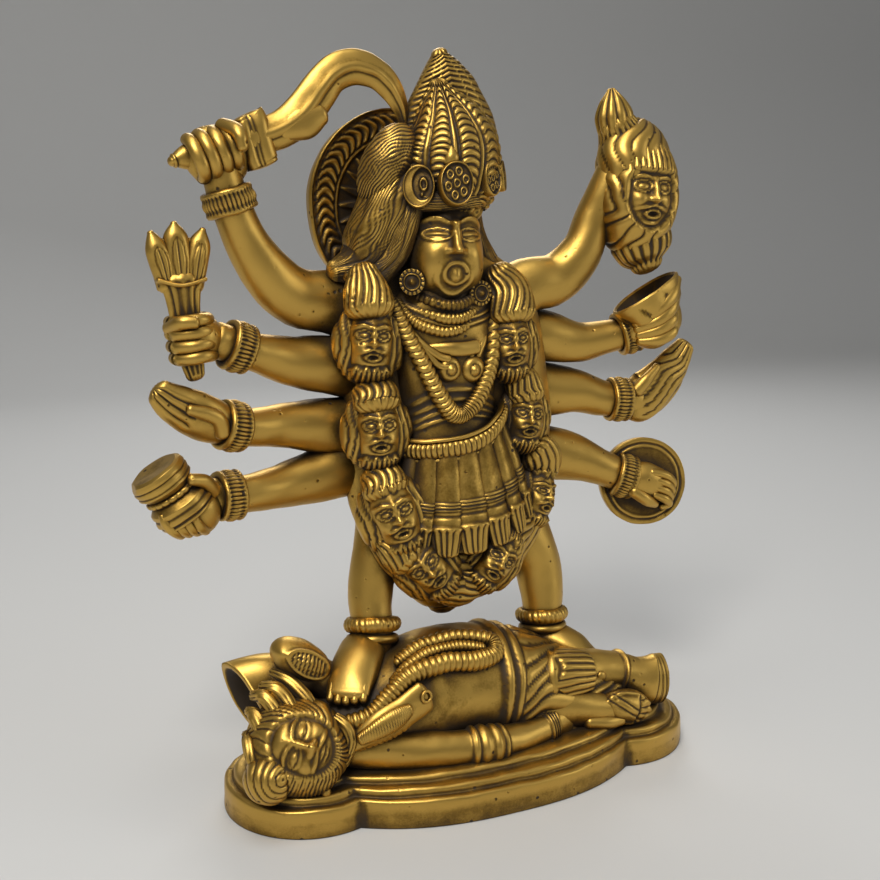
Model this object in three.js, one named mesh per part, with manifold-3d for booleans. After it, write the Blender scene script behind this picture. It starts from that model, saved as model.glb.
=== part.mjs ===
// A many-armed standing figure on a reclining one, on a lobed plinth: one solid brass casting.
// Millimetres, +Z up, the front faces -Y, origin at the middle of the plinth's underside.
import * as THREE from "three";
import { mergeVertices } from "three/addons/utils/BufferGeometryUtils.js";
import Module from "manifold-3d";

const wasm = await Module();
wasm.setup();

// Plinth: a wide middle between two round end lobes, with a low ledge and a raised bed on it.
const PLINTH_HEIGHT = 8;
const LOBE_CENTRE_X = 50;
const LOBE_RADIUS = 24;
const PLINTH_HALF_DEPTH = 33.5;
const LEDGE_HEIGHT = 2.2;
const LEDGE_INSET = 2.6;
const BED_HEIGHT = 4;
const BED_INSET = 7;
const LOBE_SIDES = 12;
const MIDDLE_SIDES = 10;

// The figures keep their pose and proportions as shares of this height, above the plinth.
const FIGURE_HEIGHT = 203;
const DRAWN_HEIGHT = 203;
const DRAWN_FOOT_Z = 8;
const SCALE = FIGURE_HEIGHT / DRAWN_HEIGHT;

// Loose sizes of their own.
const RING_THICKNESS = 3.6;
const BANGLE_HALF = 0.045;
const BANGLE_OUT = 1.9;
const HALO_RADIUS = 28;
const HALO_THICKNESS = 4.4;
const HALO_RIM_WIDTH = 7;
const DISC_RADIUS = 14.2;
const DISC_THICKNESS = 4.5;
const BOWL_RADIUS = 12.2;
const BOWL_WALL = 2.2;
const BOWL_HOLLOW = 4.4;
const BOWL_DEPTH_SHARE = 0.66;
const BOLSTER_HOLLOW = 9;

const vec = (x, y, z) => new THREE.Vector3(x, y, z);

// A point of the figures' drawing, in its place on the plinth.
const place = (x, y, z) => vec(x * SCALE, y * SCALE, PLINTH_HEIGHT + (z - DRAWN_FOOT_Z) * SCALE);

// Turns a closed geometry into a solid, facing out.
function solid(geometry) {
  const bare = geometry.index ? geometry.toNonIndexed() : geometry.clone();
  for (const name of Object.keys(bare.attributes)) if (name !== "position") bare.deleteAttribute(name);
  const merged = mergeVertices(bare, 1e-4);
  const triVerts = new Uint32Array(merged.index.array);
  const vertProperties = merged.attributes.position.array;
  if (signedVolume(vertProperties, triVerts) < 0) {
    for (let i = 0; i < triVerts.length; i += 3) {
      [triVerts[i + 1], triVerts[i + 2]] = [triVerts[i + 2], triVerts[i + 1]];
    }
  }
  return new wasm.Manifold(new wasm.Mesh({ numProp: 3, vertProperties, triVerts }));
}

function signedVolume(points, faces) {
  const corner = (i) => vec(points[3 * i], points[3 * i + 1], points[3 * i + 2]);
  let total = 0;
  for (let i = 0; i < faces.length; i += 3) {
    total += corner(faces[i]).dot(corner(faces[i + 1]).cross(corner(faces[i + 2])));
  }
  return total;
}

const join = (solids) => solids.reduce((whole, next) => whole.add(next));

// A sphere's grid remapped: each vertex goes to shape(turn, row), row 0 and the last one being the poles.
function mould(around, along, shape) {
  const geometry = new THREE.SphereGeometry(1, around, along);
  const { position } = geometry.attributes;
  for (let i = 0; i < position.count; i++) {
    const row = Math.floor(i / (around + 1));
    const step = (i % (around + 1)) % around;
    const pole = row === 0 || row === along;
    const p = shape(pole ? 0 : (2 * Math.PI * step) / around, row);
    position.setXYZ(i, p.x, p.y, p.z);
  }
  return solid(geometry);
}

// Reads a row of numbers part way between sections, on a Catmull-Rom spline in every column.
function between(rows, share) {
  const reach = share * (rows.length - 1);
  const k = Math.min(Math.floor(reach), rows.length - 2);
  const t = reach - k;
  const row = (i) => rows[Math.max(0, Math.min(rows.length - 1, i))];
  return rows[0].map((_, c) => {
    const [a, b, d, e] = [row(k - 1)[c], row(k)[c], row(k + 1)[c], row(k + 2)[c]];
    return b + 0.5 * t * (d - a + t * (2 * a - 5 * b + 4 * d - e + t * (3 * (b - d) + e - a)));
  });
}

// A limb: rows of x, y, z, width across and depth along the side axis, lofted with oval sections.
// A band, as [share, half its length, height], stands out of it like a bangle.
function limb(rows, around = 8, steps = 6, side = vec(0, 1, 0), band = null) {
  const stations = Array.from({ length: steps + 1 }, (_, i) => [i / steps, 0]);
  if (band) {
    const [at, half, height] = band;
    const clear = stations.filter(([share]) => Math.abs(share - at) > 1.6 * half);
    stations.length = 0;
    stations.push(...clear, [at - half * 1.1, 0], [at - half * 0.8, height], [at + half * 0.8, height]);
    stations.push([at + half * 1.1, 0]);
    stations.sort((a, b) => a[0] - b[0]);
  }
  const centre = (s) => vec(...between(rows, s).slice(0, 3));
  return mould(around, stations.length + 1, (turn, row) => {
    const [s, out] = stations[Math.max(0, Math.min(stations.length - 1, row - 1))];
    const [x, y, z, width, depth] = between(rows, s);
    if (row === 0 || row === stations.length + 1) return place(x, y, z);
    const ahead = centre(Math.min(1, s + 0.02)).sub(centre(Math.max(0, s - 0.02))).normalize();
    const across = side.clone().cross(ahead).normalize();
    const deep = ahead.clone().cross(across);
    const p = vec(x, y, z);
    p.addScaledVector(across, Math.cos(turn) * (width / 2 + out));
    p.addScaledVector(deep, Math.sin(turn) * (depth / 2 + out));
    return place(p.x, p.y, p.z);
  });
}

// An ellipsoid, turned by degrees about Y, then X, then Z.
function ball([x, y, z], [rx, ry, rz], [tiltY, tiltX, tiltZ] = [0, 0, 0], around = 8, along = 5) {
  const spin = new THREE.Euler(...[tiltX, tiltY, tiltZ].map(THREE.MathUtils.degToRad), "ZXY");
  return mould(around, along, (turn, row) => {
    const polar = (Math.PI * row) / along;
    const p = vec(
      rx * Math.sin(polar) * Math.cos(turn),
      ry * Math.sin(polar) * Math.sin(turn),
      rz * Math.cos(polar),
    ).applyEuler(spin);
    return place(x + p.x, y + p.y, z + p.z);
  });
}

// A ring with its axis along normal.
function ring([x, y, z], radius, normal, thickness = RING_THICKNESS, stretch = 1) {
  const geometry = new THREE.TorusGeometry(radius * SCALE, thickness / 2, 4, 12);
  geometry.scale(1, stretch, 1);
  const turn = new THREE.Quaternion().setFromUnitVectors(vec(0, 0, 1), vec(...normal).normalize());
  geometry.applyQuaternion(turn);
  return solid(geometry.translate(...place(x, y, z)));
}

// A turned piece: profile of radius and height, with its axis along normal.
function turned([x, y, z], profile, normal, around = 16) {
  const points = profile.map(([r, h]) => new THREE.Vector2(r, h));
  const geometry = new THREE.LatheGeometry(points, around);
  const turn = new THREE.Quaternion().setFromUnitVectors(vec(0, 1, 0), vec(...normal).normalize());
  geometry.applyQuaternion(turn);
  return solid(geometry.translate(...place(x, y, z)));
}

// One layer of the plinth: its lobed outline drawn in by inset, from low to high.
function plinthLayer(inset, low, high) {
  const radius = LOBE_RADIUS - inset;
  const notchAngle = THREE.MathUtils.degToRad(73);
  const notchX = LOBE_CENTRE_X - radius * Math.cos(notchAngle);
  const notchY = radius * Math.sin(notchAngle);
  const bulge = PLINTH_HALF_DEPTH - inset - notchY;
  const points = [];
  const lobe = (sign) => {
    for (let i = 0; i <= LOBE_SIDES; i++) {
      const angle = (Math.PI - notchAngle) * ((2 * i) / LOBE_SIDES - 1);
      points.push([sign * (LOBE_CENTRE_X + radius * Math.cos(angle)), sign * radius * Math.sin(angle)]);
    }
  };
  const middle = (sign) => {
    for (let i = 1; i < MIDDLE_SIDES; i++) {
      const share = 1 - (2 * i) / MIDDLE_SIDES;
      points.push([sign * notchX * share, sign * (notchY + bulge * (1 - Math.abs(share) ** 2.6))]);
    }
  };
  lobe(1);
  middle(1);
  lobe(-1);
  middle(-1);
  const outline = new THREE.Shape(points.map(([x, y]) => new THREE.Vector2(x, y)));
  const options = { depth: high - low, bevelEnabled: false };
  return solid(new THREE.ExtrudeGeometry(outline, options).translate(0, 0, low));
}

function plinth() {
  const ledge = PLINTH_HEIGHT + LEDGE_HEIGHT;
  return join([
    plinthLayer(0, 0, PLINTH_HEIGHT),
    plinthLayer(LEDGE_INSET, PLINTH_HEIGHT / 2, ledge),
    plinthLayer(BED_INSET, PLINTH_HEIGHT / 2, PLINTH_HEIGHT + BED_HEIGHT),
  ]);
}

// The reclining figure, head at -X, with a coiled cord on its chest and a hollow bolster behind its head.
function recliningFigure() {
  const along = vec(0, 1, 0);
  const body = limb(
    [
      [-45, -4, 21.5, 18, 22],
      [-30, -1, 24.5, 28, 32],
      [-14, 1, 25.5, 36, 36],
      [2, 1, 25.5, 36, 36],
      [16, 0, 23.5, 31, 34],
      [30, -2, 20, 24, 28],
      [46, -3, 18, 16, 20],
    ],
    10,
    6,
    along,
  );
  const nearArm = limb(
    [
      [-38, -9, 19, 13, 12],
      [-31, -13.5, 17, 12.5, 11],
      [-19, -17.5, 15.5, 11, 10],
      [-5, -19.8, 15, 10.3, 9.5],
      [7, -18.6, 14, 9.4, 9],
      [19, -16, 13, 8.6, 8],
      [24, -15, 13, 8.6, 6],
      [31, -13.6, 13, 9.6, 5],
      [35.5, -12.8, 13, 6, 3],
    ],
    6,
    7,
    along,
    [0.43, 0.035, 1.2],
  );
  const nearLeg = limb(
    [
      [14, -9, 19, 18, 14],
      [30, -13, 18, 13, 11],
      [42, -15, 16.5, 9.6, 9],
      [49.5, -16.4, 16, 9.6, 8],
      [54.5, -17, 16, 5, 5],
    ],
    7,
    5,
  );
  const farLeg = limb(
    [
      [18, -1, 25, 20, 18],
      [36, -4, 25.5, 15, 15],
      [49, -7, 24, 12.5, 12],
      [56, -9, 21, 14, 11],
      [65, -10, 20, 17, 11],
    ],
    8,
    5,
  );
  const head = ball([-56.5, -9, 21.5], [12.5, 12, 11], [0, 0, 0], 9, 6);
  const hair = ball([-60, -6, 20.5], [12, 13, 13], [0, 0, -25], 9, 5);
  const nose = ball([-52.2, -19, 24.5], [2, 4.5, 2.4], [0, 0, 25], 5, 4);
  const knot = ball([-67, -15, 15.5], [6.6, 6.6, 6.8], [0, 0, 0], 7, 4);
  const raisedArm = limb(
    [
      [-63, 5, 27, 13, 13],
      [-57, 2, 36, 13, 13],
      [-49, 0, 38, 11, 11],
      [-42, -2, 32, 9, 10],
    ],
    7,
    4,
  );
  const raisedHand = ball([-52.3, -1, 42], [9.6, 6.4, 5.6], [32, 0, 0], 7, 5);
  const bolster = limb(
    [
      [-68.4, 11, 27.2, 26.4, 15],
      [-60, 10, 28.6, 25.6, 17],
      [-50, 8, 27.4, 25, 18],
      [-38, 6, 24, 22, 20],
    ],
    9,
    3,
  );
  const bolsterHollow = limb(
    [
      [-73, 11, 26.4, 21, 10],
      [-68.4 + BOLSTER_HOLLOW, 10, 28.2, 17, 8],
    ],
    8,
    2,
  );
  const cord = limb(
    [
      [-46, -14, 27, 5, 5],
      [-38, -16, 29, 5, 5],
      [-32, -16, 33.5, 5, 5],
      [-25, -14.6, 37.8, 5.2, 5],
      [-14, -13.6, 39.2, 5.2, 5],
      [-4, -13.6, 38.2, 5.2, 5],
      [3, -12.2, 39, 5, 5],
      [2.4, -8.4, 42, 4.4, 4.4],
      [-8, -7, 43.4, 4, 4],
      [-20, -7.4, 42, 4, 4],
    ],
    4,
    10,
  );
  const hood = limb(
    [
      [-42, -17, 23, 6, 5],
      [-35, -18.4, 26.5, 9, 5],
      [-28, -18.8, 29.5, 9.6, 5],
      [-20.4, -18.4, 33, 9, 4.6],
    ],
    6,
    3,
  );
  return join([
    bolster.subtract(bolsterHollow),
    body,
    nearArm,
    nearLeg,
    farLeg,
    head,
    hair,
    nose,
    knot,
    raisedArm,
    raisedHand,
    cord,
    hood,
  ]);
}

// Legs, feet and anklets of the standing figure.
function legs() {
  const right = [
    [-18, 13, 78, 24, 18],
    [-25.5, 9, 65, 14.5, 14],
    [-28, 7, 54, 12.8, 12.5],
    [-28, 5, 46, 12, 12],
    [-29, 4, 38, 11, 12],
    [-29.5, 4, 30, 10, 11],
  ];
  const left = [
    [18, 15, 76, 26, 18],
    [29, 12, 60, 16.5, 15],
    [31.5, 10, 49, 14, 13],
    [31, 8.5, 39, 12, 12],
    [31, 8, 30, 11, 12],
    [31, 7, 24, 10, 11],
  ];
  const rightFoot = [
    [-28, 8, 41, 12, 11],
    [-33, 1, 41, 14.5, 11],
    [-38.5, -6, 38, 15, 10],
    [-43.6, -13, 33.4, 13, 6],
  ];
  const leftFoot = [
    [30, 10, 33, 12, 11],
    [34, 5, 33, 12.6, 10],
    [39, 0.5, 31.4, 12.4, 8],
    [43.6, -3, 28.8, 10.5, 5],
  ];
  return join([
    limb(right, 8, 4, vec(0, 1, 0), [0.6, 0.05, 2]),
    limb(left, 8, 4, vec(0, 1, 0), [0.6, 0.045, 2]),
    limb(rightFoot, 6, 3, vec(0, 0, 1)),
    limb(leftFoot, 6, 3, vec(0, 0, 1)),
  ]);
}

// Core of the standing figure: back, chest, skirt and belt.
function trunk() {
  const back = limb(
    [
      [-2, 12, 48, 10, 8],
      [-2, 12, 52, 26, 14],
      [0, 13, 62, 50, 20],
      [1.5, 14, 80, 66, 20],
      [1.5, 14, 100, 68, 20],
      [0.5, 14, 120, 66, 20],
      [-0.5, 14, 136, 60, 20],
      [-2, 13, 145, 44, 18],
      [-4, 12, 151, 20, 15],
    ],
    10,
    7,
  );
  const front = limb(
    [
      [-2, 8, 68, 36, 18],
      [-2, 6.5, 86, 37, 22],
      [-3, 6.5, 98, 31, 21],
      [-3.5, 7, 108, 29, 19],
      [-3.5, 7, 120, 32, 20],
      [-4, 7.5, 131, 34, 20],
      [-4, 8, 140, 32, 18],
      [-4, 8, 150, 16, 15],
    ],
    10,
    7,
  );
  const breasts = [-1, 1].map((s) => ball([-4 + 7.2 * s, 0, 121.5], [6.6, 5.5, 6.4], [0, 0, 0], 7, 4));
  const belt = ring([-3, 6.5, 99.5], 16, [0, 0.22, 1], 4, 0.72);
  const pendantChain = limb(
    [
      [-15, 2.5, 137, 4.6, 4],
      [-12.8, -2.2, 126, 4.8, 4],
      [-9.5, -3.6, 114, 5, 4],
      [-3.5, -3.6, 107.5, 5, 4],
      [2.4, -3.4, 114, 5, 4],
      [5.4, -2.2, 126, 4.8, 4],
      [7.5, 2.5, 137, 4.6, 4],
    ],
    4,
    8,
  );
  return join([back, front, ...breasts, belt, pendantChain]);
}

// The skirt of hanging arms: tapered strips fanned round the hips, each ending in a hand.
function skirt() {
  const strips = [];
  const count = 7;
  for (let i = 0; i < count; i++) {
    const share = (i / (count - 1)) * 2 - 1;
    const swing = THREE.MathUtils.degToRad(64 * share);
    const top = [-2.5 + 15.4 * Math.sin(swing), 6.5 - 10.6 * Math.cos(swing), 96.5];
    const foot = [-1 + 24 * Math.sin(swing), 7 - 14.5 * Math.cos(swing), 65.5 + 3 * share * share];
    const at = (t, width, depth) => [
      ...top.map((v, k) => v + (foot[k] - v) * t),
      width * (1 - 0.25 * Math.abs(share)),
      depth,
    ];
    strips.push(
      limb([at(0, 5.6, 4), at(0.4, 7.6, 5), at(0.72, 7.6, 5), at(0.85, 8.8, 4.6), at(1.05, 4.6, 2.6)], 6, 4),
    );
  }
  return join(strips);
}

// A small head of the garland, one egg: beard, face with nose and side locks, and hair drawn up to a tail.
function garlandHead([x, y, z], size, tilt, turn) {
  const spin = new THREE.Euler(0, THREE.MathUtils.degToRad(tilt), THREE.MathUtils.degToRad(turn), "ZYX");
  const rings = [
    [0, 0, -11.2, 0, 0],
    [4.2, 3.6, -9, 0, 0],
    [5.4, 4.6, -4.6, 2.4, 1.6],
    [5.8, 5, 1.4, 2, 0],
    [7.6, 6.4, 3.2, 0, 0],
    [6.6, 5.8, 8, 0, 0],
    [0, 0, 15, 0, 0],
  ];
  return mould(8, rings.length - 1, (angle, row) => {
    const [rx, ry, pz, lock, nose] = rings[row];
    const side = lock * Math.max(0, Math.abs(Math.cos(angle)) * 4 - 3) * Math.sign(Math.cos(angle));
    const front = nose * Math.max(0, -Math.sin(angle) * 4 - 3);
    const p = vec(rx * Math.cos(angle) + side, ry * Math.sin(angle) - front, pz);
    p.multiplyScalar(size).applyEuler(spin);
    return place(x + p.x, y + p.y, z + p.z);
  });
}

function garland() {
  const heads = [
    [[-28.5, 3.4, 129.6], 1.02, 2, -12],
    [[-27.6, 2, 105.4], 1.02, 0, -12],
    [[-24.2, -1.2, 82.2], 1.02, 14, -14],
    [[-12, -1.6, 62.2], 0.98, 50, -8],
    [[11.5, -1, 62.6], 0.94, -46, 8],
    [[27, 3.2, 82], 0.9, -16, 24],
    [[26.4, 4, 104], 0.96, -6, 22],
    [[22.4, 3.4, 127], 1, 0, 16],
  ];
  return join(heads.map((head) => garlandHead(...head)));
}

// Head, neck, crown and hair of the standing figure, and the halo behind.
function headAndCrown() {
  const neck = ball([-4, 8, 145], [8, 8, 9]);
  const skull = ball([-4.5, 8, 156.5], [10.4, 11, 15], [0, 0, 0], 11, 7);
  const nose = ball([-4.5, -2.6, 154.5], [1.7, 2.4, 4], [0, 0, 0], 5, 4);
  const tongue = ball([-4.5, -1.6, 147.2], [2.5, 1.8, 3.4], [0, 0, 0], 6, 4);
  const earrings = [-1, 1].map((s) => ball([-4.5 + 10.6 * s, 3.6, 143.5], [3.9, 3.8, 3.9], [0, 0, 0], 7, 4));
  const crownSections = [
    [-4, 8, 165, 22, 21],
    [-3.4, 8, 170.5, 27, 25],
    [-3, 8.5, 178, 31, 26],
    [-2.8, 9, 184, 31, 25],
    [-3, 9, 191, 27.6, 21],
    [-3.4, 9, 199, 20.6, 15],
    [-4, 9, 205.5, 12, 9],
    [-5, 9, 210.6, 1.2, 1.2],
  ];
  const crown = limb(crownSections, 10, 6);
  const medallions = [-52, -22, 8, 38].map((angle) => {
    const turn = THREE.MathUtils.degToRad(angle);
    const centre = [-3 + 13.4 * Math.sin(turn), 8 - 12.6 * Math.cos(turn), 172.6];
    return turned(
      centre,
      [
        [0, -1.6],
        [5.2, -1.6],
        [4.2, 1.6],
        [0, 1.6],
      ],
      [Math.sin(turn), -Math.cos(turn), 0.25],
      7,
    );
  });
  const hair = limb(
    [
      [-7, 16, 190, 16, 8],
      [-8, 17, 180, 28, 14],
      [-9, 17, 169, 37, 16],
      [-10, 17, 158, 46, 17],
      [-9.5, 16, 149, 55, 17],
      [-7, 15, 141, 58, 16],
    ],
    10,
    4,
  );
  const shoulderLocks = [
    limb(
      [
        [-17, 9, 165, 8, 9],
        [-22, 8, 156, 10, 10],
        [-27, 8, 149, 10, 9],
        [-35, 11, 147.5, 5, 6],
      ],
      5,
      3,
    ),
    limb(
      [
        [6, 11, 160, 6, 8],
        [9, 10, 150, 8, 9],
        [16, 9, 143, 9, 9],
        [24, 10, 141, 5, 6],
      ],
      5,
      3,
    ),
  ];
  const half = HALO_THICKNESS / 2;
  const inner = HALO_RADIUS - HALO_RIM_WIDTH;
  const halo = turned(
    [-11, 26.5, 167],
    [
      [0, -half],
      [HALO_RADIUS, -half],
      [HALO_RADIUS, half],
      [inner, half],
      [inner - 1, half - 1.6],
      [0, half - 1.6],
    ],
    [0.1, -1, 0],
    20,
  );
  return join([neck, skull, nose, tongue, ...earrings, crown, ...medallions, hair, ...shoulderLocks, halo]);
}

// The eight arms, each a limb from shoulder to wrist with a bangle where the hand starts.
function arms() {
  const arm = (rows, bangle) => limb(rows, 7, 4, vec(0, 1, 0), [bangle, BANGLE_HALF, BANGLE_OUT]);
  return join([
    arm(
      [
        [-20, 17, 135, 22, 18],
        [-34, 16, 139.5, 18.5, 15],
        [-46, 15, 141.5, 16.5, 13.5],
        [-55, 13, 149, 14, 12.5],
        [-61, 12, 158, 11.8, 11],
        [-65, 11, 167, 10.6, 10.5],
        [-67, 11, 175, 10.5, 10],
      ],
      0.84,
    ),
    arm(
      [
        [-22, 18, 120, 18, 16],
        [-34, 16, 121.8, 17, 15],
        [-48, 14, 123.7, 14, 12],
        [-58, 12, 126.6, 11, 10.5],
        [-64, 11, 128.8, 10.5, 10],
        [-70, 10, 131, 10, 9.5],
      ],
      0.8,
    ),
    arm(
      [
        [-22, 19, 103, 18, 16],
        [-34, 17, 104.3, 17, 15],
        [-50, 15.5, 105.6, 13, 12.5],
        [-60, 12.5, 106, 10.8, 10.5],
        [-66.5, 11, 107.2, 10.5, 10],
        [-71, 9.5, 108.7, 10, 8],
      ],
      0.8,
    ),
    arm(
      [
        [-22, 20, 93, 18, 16],
        [-34, 18, 91, 17, 15],
        [-48.4, 16, 88.7, 13.4, 12.5],
        [-60, 12.5, 87.7, 10.8, 10.5],
        [-68, 11, 87.8, 10.6, 10],
        [-75, 9.5, 88, 10.5, 9.5],
      ],
      0.8,
    ),
    arm(
      [
        [18, 18, 138, 22, 18],
        [28, 16, 143.6, 17, 15],
        [38, 15, 146, 15.6, 13.5],
        [45.5, 13, 154, 13.6, 12],
        [48.8, 12, 164, 11.5, 11],
        [51.5, 10, 173, 10, 10],
        [55, 9, 182, 9, 9],
      ],
      0.72,
    ),
    arm(
      [
        [22, 20, 128.5, 18, 16],
        [34, 18, 128, 16.5, 14],
        [45.5, 16, 125.6, 13.3, 12],
        [53.5, 14, 126.5, 11, 10.5],
        [62.5, 12, 128.5, 10.5, 10],
        [68, 11, 130.5, 10, 9],
      ],
      0.8,
    ),
    arm(
      [
        [22, 22, 112, 20, 16],
        [35, 20, 110.6, 18, 15],
        [46.5, 17, 109.8, 14, 12.5],
        [55, 14.5, 107.4, 11.5, 11],
        [60.5, 13, 106.8, 10.8, 10],
        [67, 12, 106.6, 10.8, 8.5],
      ],
      0.8,
    ),
    arm(
      [
        [22, 22, 92, 20, 16],
        [35, 20, 90.4, 18, 15],
        [45.5, 17, 88.6, 15.6, 13],
        [55, 14, 84.9, 11.7, 11],
        [63, 12, 81.6, 10.6, 10],
        [69, 10, 80.4, 10.6, 8.5],
      ],
      0.8,
    ),
  ]);
}

// The right hands and what they hold: the curved sword, the trident, nothing, and the drum.
function rightHands() {
  const fists = [
    ball([-68.2, 10.5, 179.4], [7.8, 7.6, 8.6], [20, 0, 0], 7, 5),
    ball([-75.6, 9, 132], [7.4, 7.2, 7.6], [0, 0, 0], 7, 5),
    ball([-77.8, 8.6, 85.4], [7.2, 7.4, 7.6], [0, 0, 0], 7, 5),
  ];
  const openHand = limb(
    [
      [-69, 9.5, 108, 10.5, 8],
      [-74, 8.5, 110.4, 12.4, 8],
      [-80, 7.5, 113.8, 11.6, 6.6],
      [-85, 6.5, 117, 8.6, 5.4],
      [-88.6, 6, 119.6, 3, 2.6],
    ],
    6,
    4,
  );
  const grip = limb(
    [
      [-78.5, 11, 176.4, 5.6, 5.6],
      [-73, 11, 178.4, 7.6, 7],
      [-60, 11, 183, 8.6, 7.4],
      [-54, 11, 184.6, 8.8, 6],
    ],
    7,
    3,
  );
  const guard = limb(
    [
      [-57.6, 11, 191.4, 4, 6],
      [-56.4, 11, 187.6, 6.4, 8],
      [-54.6, 11, 181.4, 6.4, 8],
      [-53, 11, 176.4, 4, 6],
    ],
    6,
    3,
  );
  const blade = limb(
    [
      [-57, 10.5, 184, 9.4, 6],
      [-50.4, 10, 186.4, 9.6, 5.6],
      [-44.8, 9.5, 190.4, 10.6, 5.2],
      [-40.4, 9, 196, 10.4, 5],
      [-36.2, 9, 200.8, 9.8, 5],
      [-30.4, 9, 203.2, 9.7, 5],
      [-24, 9, 201.8, 8.6, 5],
      [-19.4, 9, 198, 7.2, 4.6],
      [-16.6, 9, 193.4, 5, 4],
      [-15.4, 9, 188.4, 2, 3],
    ],
    5,
    10,
  );
  const hook = limb(
    [
      [-46, 9.5, 189, 9, 4],
      [-41.5, 9, 190.5, 6, 4],
      [-37.2, 9, 187.6, 1, 3],
    ],
    5,
    2,
  );
  const shaft = limb(
    [
      [-77.6, 8.6, 124.5, 6, 5],
      [-78.4, 8.6, 138, 7.6, 5.4],
      [-78.8, 8.6, 144, 9.4, 5.6],
      [-79.2, 8.6, 149.5, 13.4, 5.2],
    ],
    7,
    3,
  );
  const tines = [
    [-82.8, -84.6, -86.7, 159.6, 5.2],
    [-79.2, -79.8, -80.3, 162, 6.2],
    [-75.6, -74.8, -72.9, 160.4, 5.4],
  ].map(([low, middle, tip, top, width]) =>
    limb(
      [
        [low, 8.6, 145, width, 5],
        [middle, 8.4, 151.5, width, 5],
        [(middle + tip) / 2, 8.5, top - 4.6, width * 0.8, 4.4],
        [tip, 8.6, top, 0.9, 1.4],
      ],
      5,
      3,
    ),
  );
  const drum = turned(
    [-84.4, 6.6, 91.6],
    [
      [0, -8],
      [7.8, -8],
      [8.8, -6],
      [8.4, -2.6],
      [6, -0.4],
      [8.2, 2],
      [8.4, 5.4],
      [6.8, 7.6],
      [0, 7.8],
    ],
    [-0.55, 0, 0.83],
    10,
  );
  return join([...fists, openHand, grip, guard, blade, hook, shaft, ...tines, drum]);
}

// The left hands and what they hold: a severed head by its hair, a leaf-shaped cup, nothing, and a disc.
function leftHands() {
  const severed = [
    ball([62.6, 9, 171.6], [12.4, 9.6, 17.4], [4, 0, 12], 9, 7),
    ball([61, 10.2, 180.4], [13.2, 10, 13.4], [6, 0, 12], 9, 5),
    ball([65.2, 7.4, 155.6], [9, 7, 7.6], [0, 0, 12], 8, 5),
    ball([63.6, -0.8, 169.4], [2, 2.6, 5], [0, 0, 12], 5, 4),
    limb(
      [
        [56, 10, 187, 12, 9],
        [54, 9.4, 194, 10.4, 8.4],
        [52.8, 9, 199, 5.8, 6],
        [52.3, 9, 202.4, 1, 1.4],
      ],
      7,
      3,
    ),
  ];
  const cupRings = [
    [0, -BOWL_RADIUS * 0.9],
    [BOWL_RADIUS * 0.55, -BOWL_RADIUS * 0.78],
    [BOWL_RADIUS * 0.88, -BOWL_RADIUS * 0.36],
    [BOWL_RADIUS, BOWL_RADIUS * 0.1],
    [BOWL_RADIUS - BOWL_WALL, BOWL_RADIUS * 0.1],
    [(BOWL_RADIUS - BOWL_WALL) * 0.7, BOWL_RADIUS * 0.1 - BOWL_HOLLOW * 0.8],
    [0, BOWL_RADIUS * 0.1 - BOWL_HOLLOW],
  ];
  const cupCentre = vec(67.6, 7.6, 139.6);
  const cupTilt = new THREE.Euler(...[6, -24, 0].map(THREE.MathUtils.degToRad));
  const bowl = mould(10, cupRings.length - 1, (turn, row) => {
    const [radius, height] = cupRings[row];
    const p = vec(radius * Math.cos(turn), BOWL_DEPTH_SHARE * radius * Math.sin(turn), height);
    return place(...p.applyEuler(cupTilt).add(cupCentre));
  });
  const bowlFingers = limb(
    [
      [63, 9, 129, 9, 10],
      [69, 6, 129, 11, 9],
      [75.4, 4.4, 132.4, 11, 8],
      [77.6, 4.6, 138.4, 8, 6],
    ],
    6,
    4,
  );
  const openHand = limb(
    [
      [65, 12, 106, 11.4, 8.4],
      [71, 11, 109, 15, 8],
      [77, 10.4, 115, 12, 6.8],
      [82.4, 9.6, 121.4, 8, 5.4],
      [86, 9, 126, 3, 2.6],
    ],
    6,
    4,
  );
  const half = DISC_THICKNESS / 2;
  const disc = turned(
    [70.5, 12.6, 79.3],
    [
      [0, -half],
      [DISC_RADIUS - 1.4, -half],
      [DISC_RADIUS, 0],
      [DISC_RADIUS - 1.4, half],
      [0, half + 0.6],
    ],
    [-0.3, -1, 0.08],
    16,
  );
  const discHand = limb(
    [
      [67, 9.6, 80.8, 11, 8],
      [72, 8.4, 79, 13.4, 7.4],
      [77, 7.8, 76.6, 11, 6.6],
      [81.4, 8.4, 73.6, 5, 4],
    ],
    6,
    3,
  );
  return join([...severed, bowl, bowlFingers, openHand, disc, discHand]);
}

const casting = join([
  plinth(),
  recliningFigure(),
  legs(),
  trunk(),
  skirt(),
  garland(),
  headAndCrown(),
  arms(),
  rightHands(),
  leftHands(),
]);

// The joined solid as a three.js mesh with flat faces.
function meshOf(shape, name, material) {
  const { numProp, numVert, vertProperties, triVerts } = shape.getMesh();
  const points = new Float32Array(numVert * 3);
  for (let i = 0; i < numVert; i++) {
    points.set(vertProperties.subarray(i * numProp, i * numProp + 3), i * 3);
  }
  const geometry = new THREE.BufferGeometry();
  geometry.setAttribute("position", new THREE.BufferAttribute(points, 3));
  geometry.setIndex(new THREE.BufferAttribute(new Uint32Array(triVerts), 1));
  geometry.computeVertexNormals();
  const mesh = new THREE.Mesh(geometry, material);
  mesh.name = name;
  return mesh;
}

const brass = new THREE.MeshStandardMaterial({ color: 0x9c7a35, roughness: 0.38, metalness: 1 });
const figure = new THREE.Group();
figure.add(meshOf(casting, "kali_figure", brass));

export default figure;
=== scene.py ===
"""A brass casting: an eight-armed goddess on a reclining god, on a lobed plinth, set in its fixed frame."""

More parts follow.
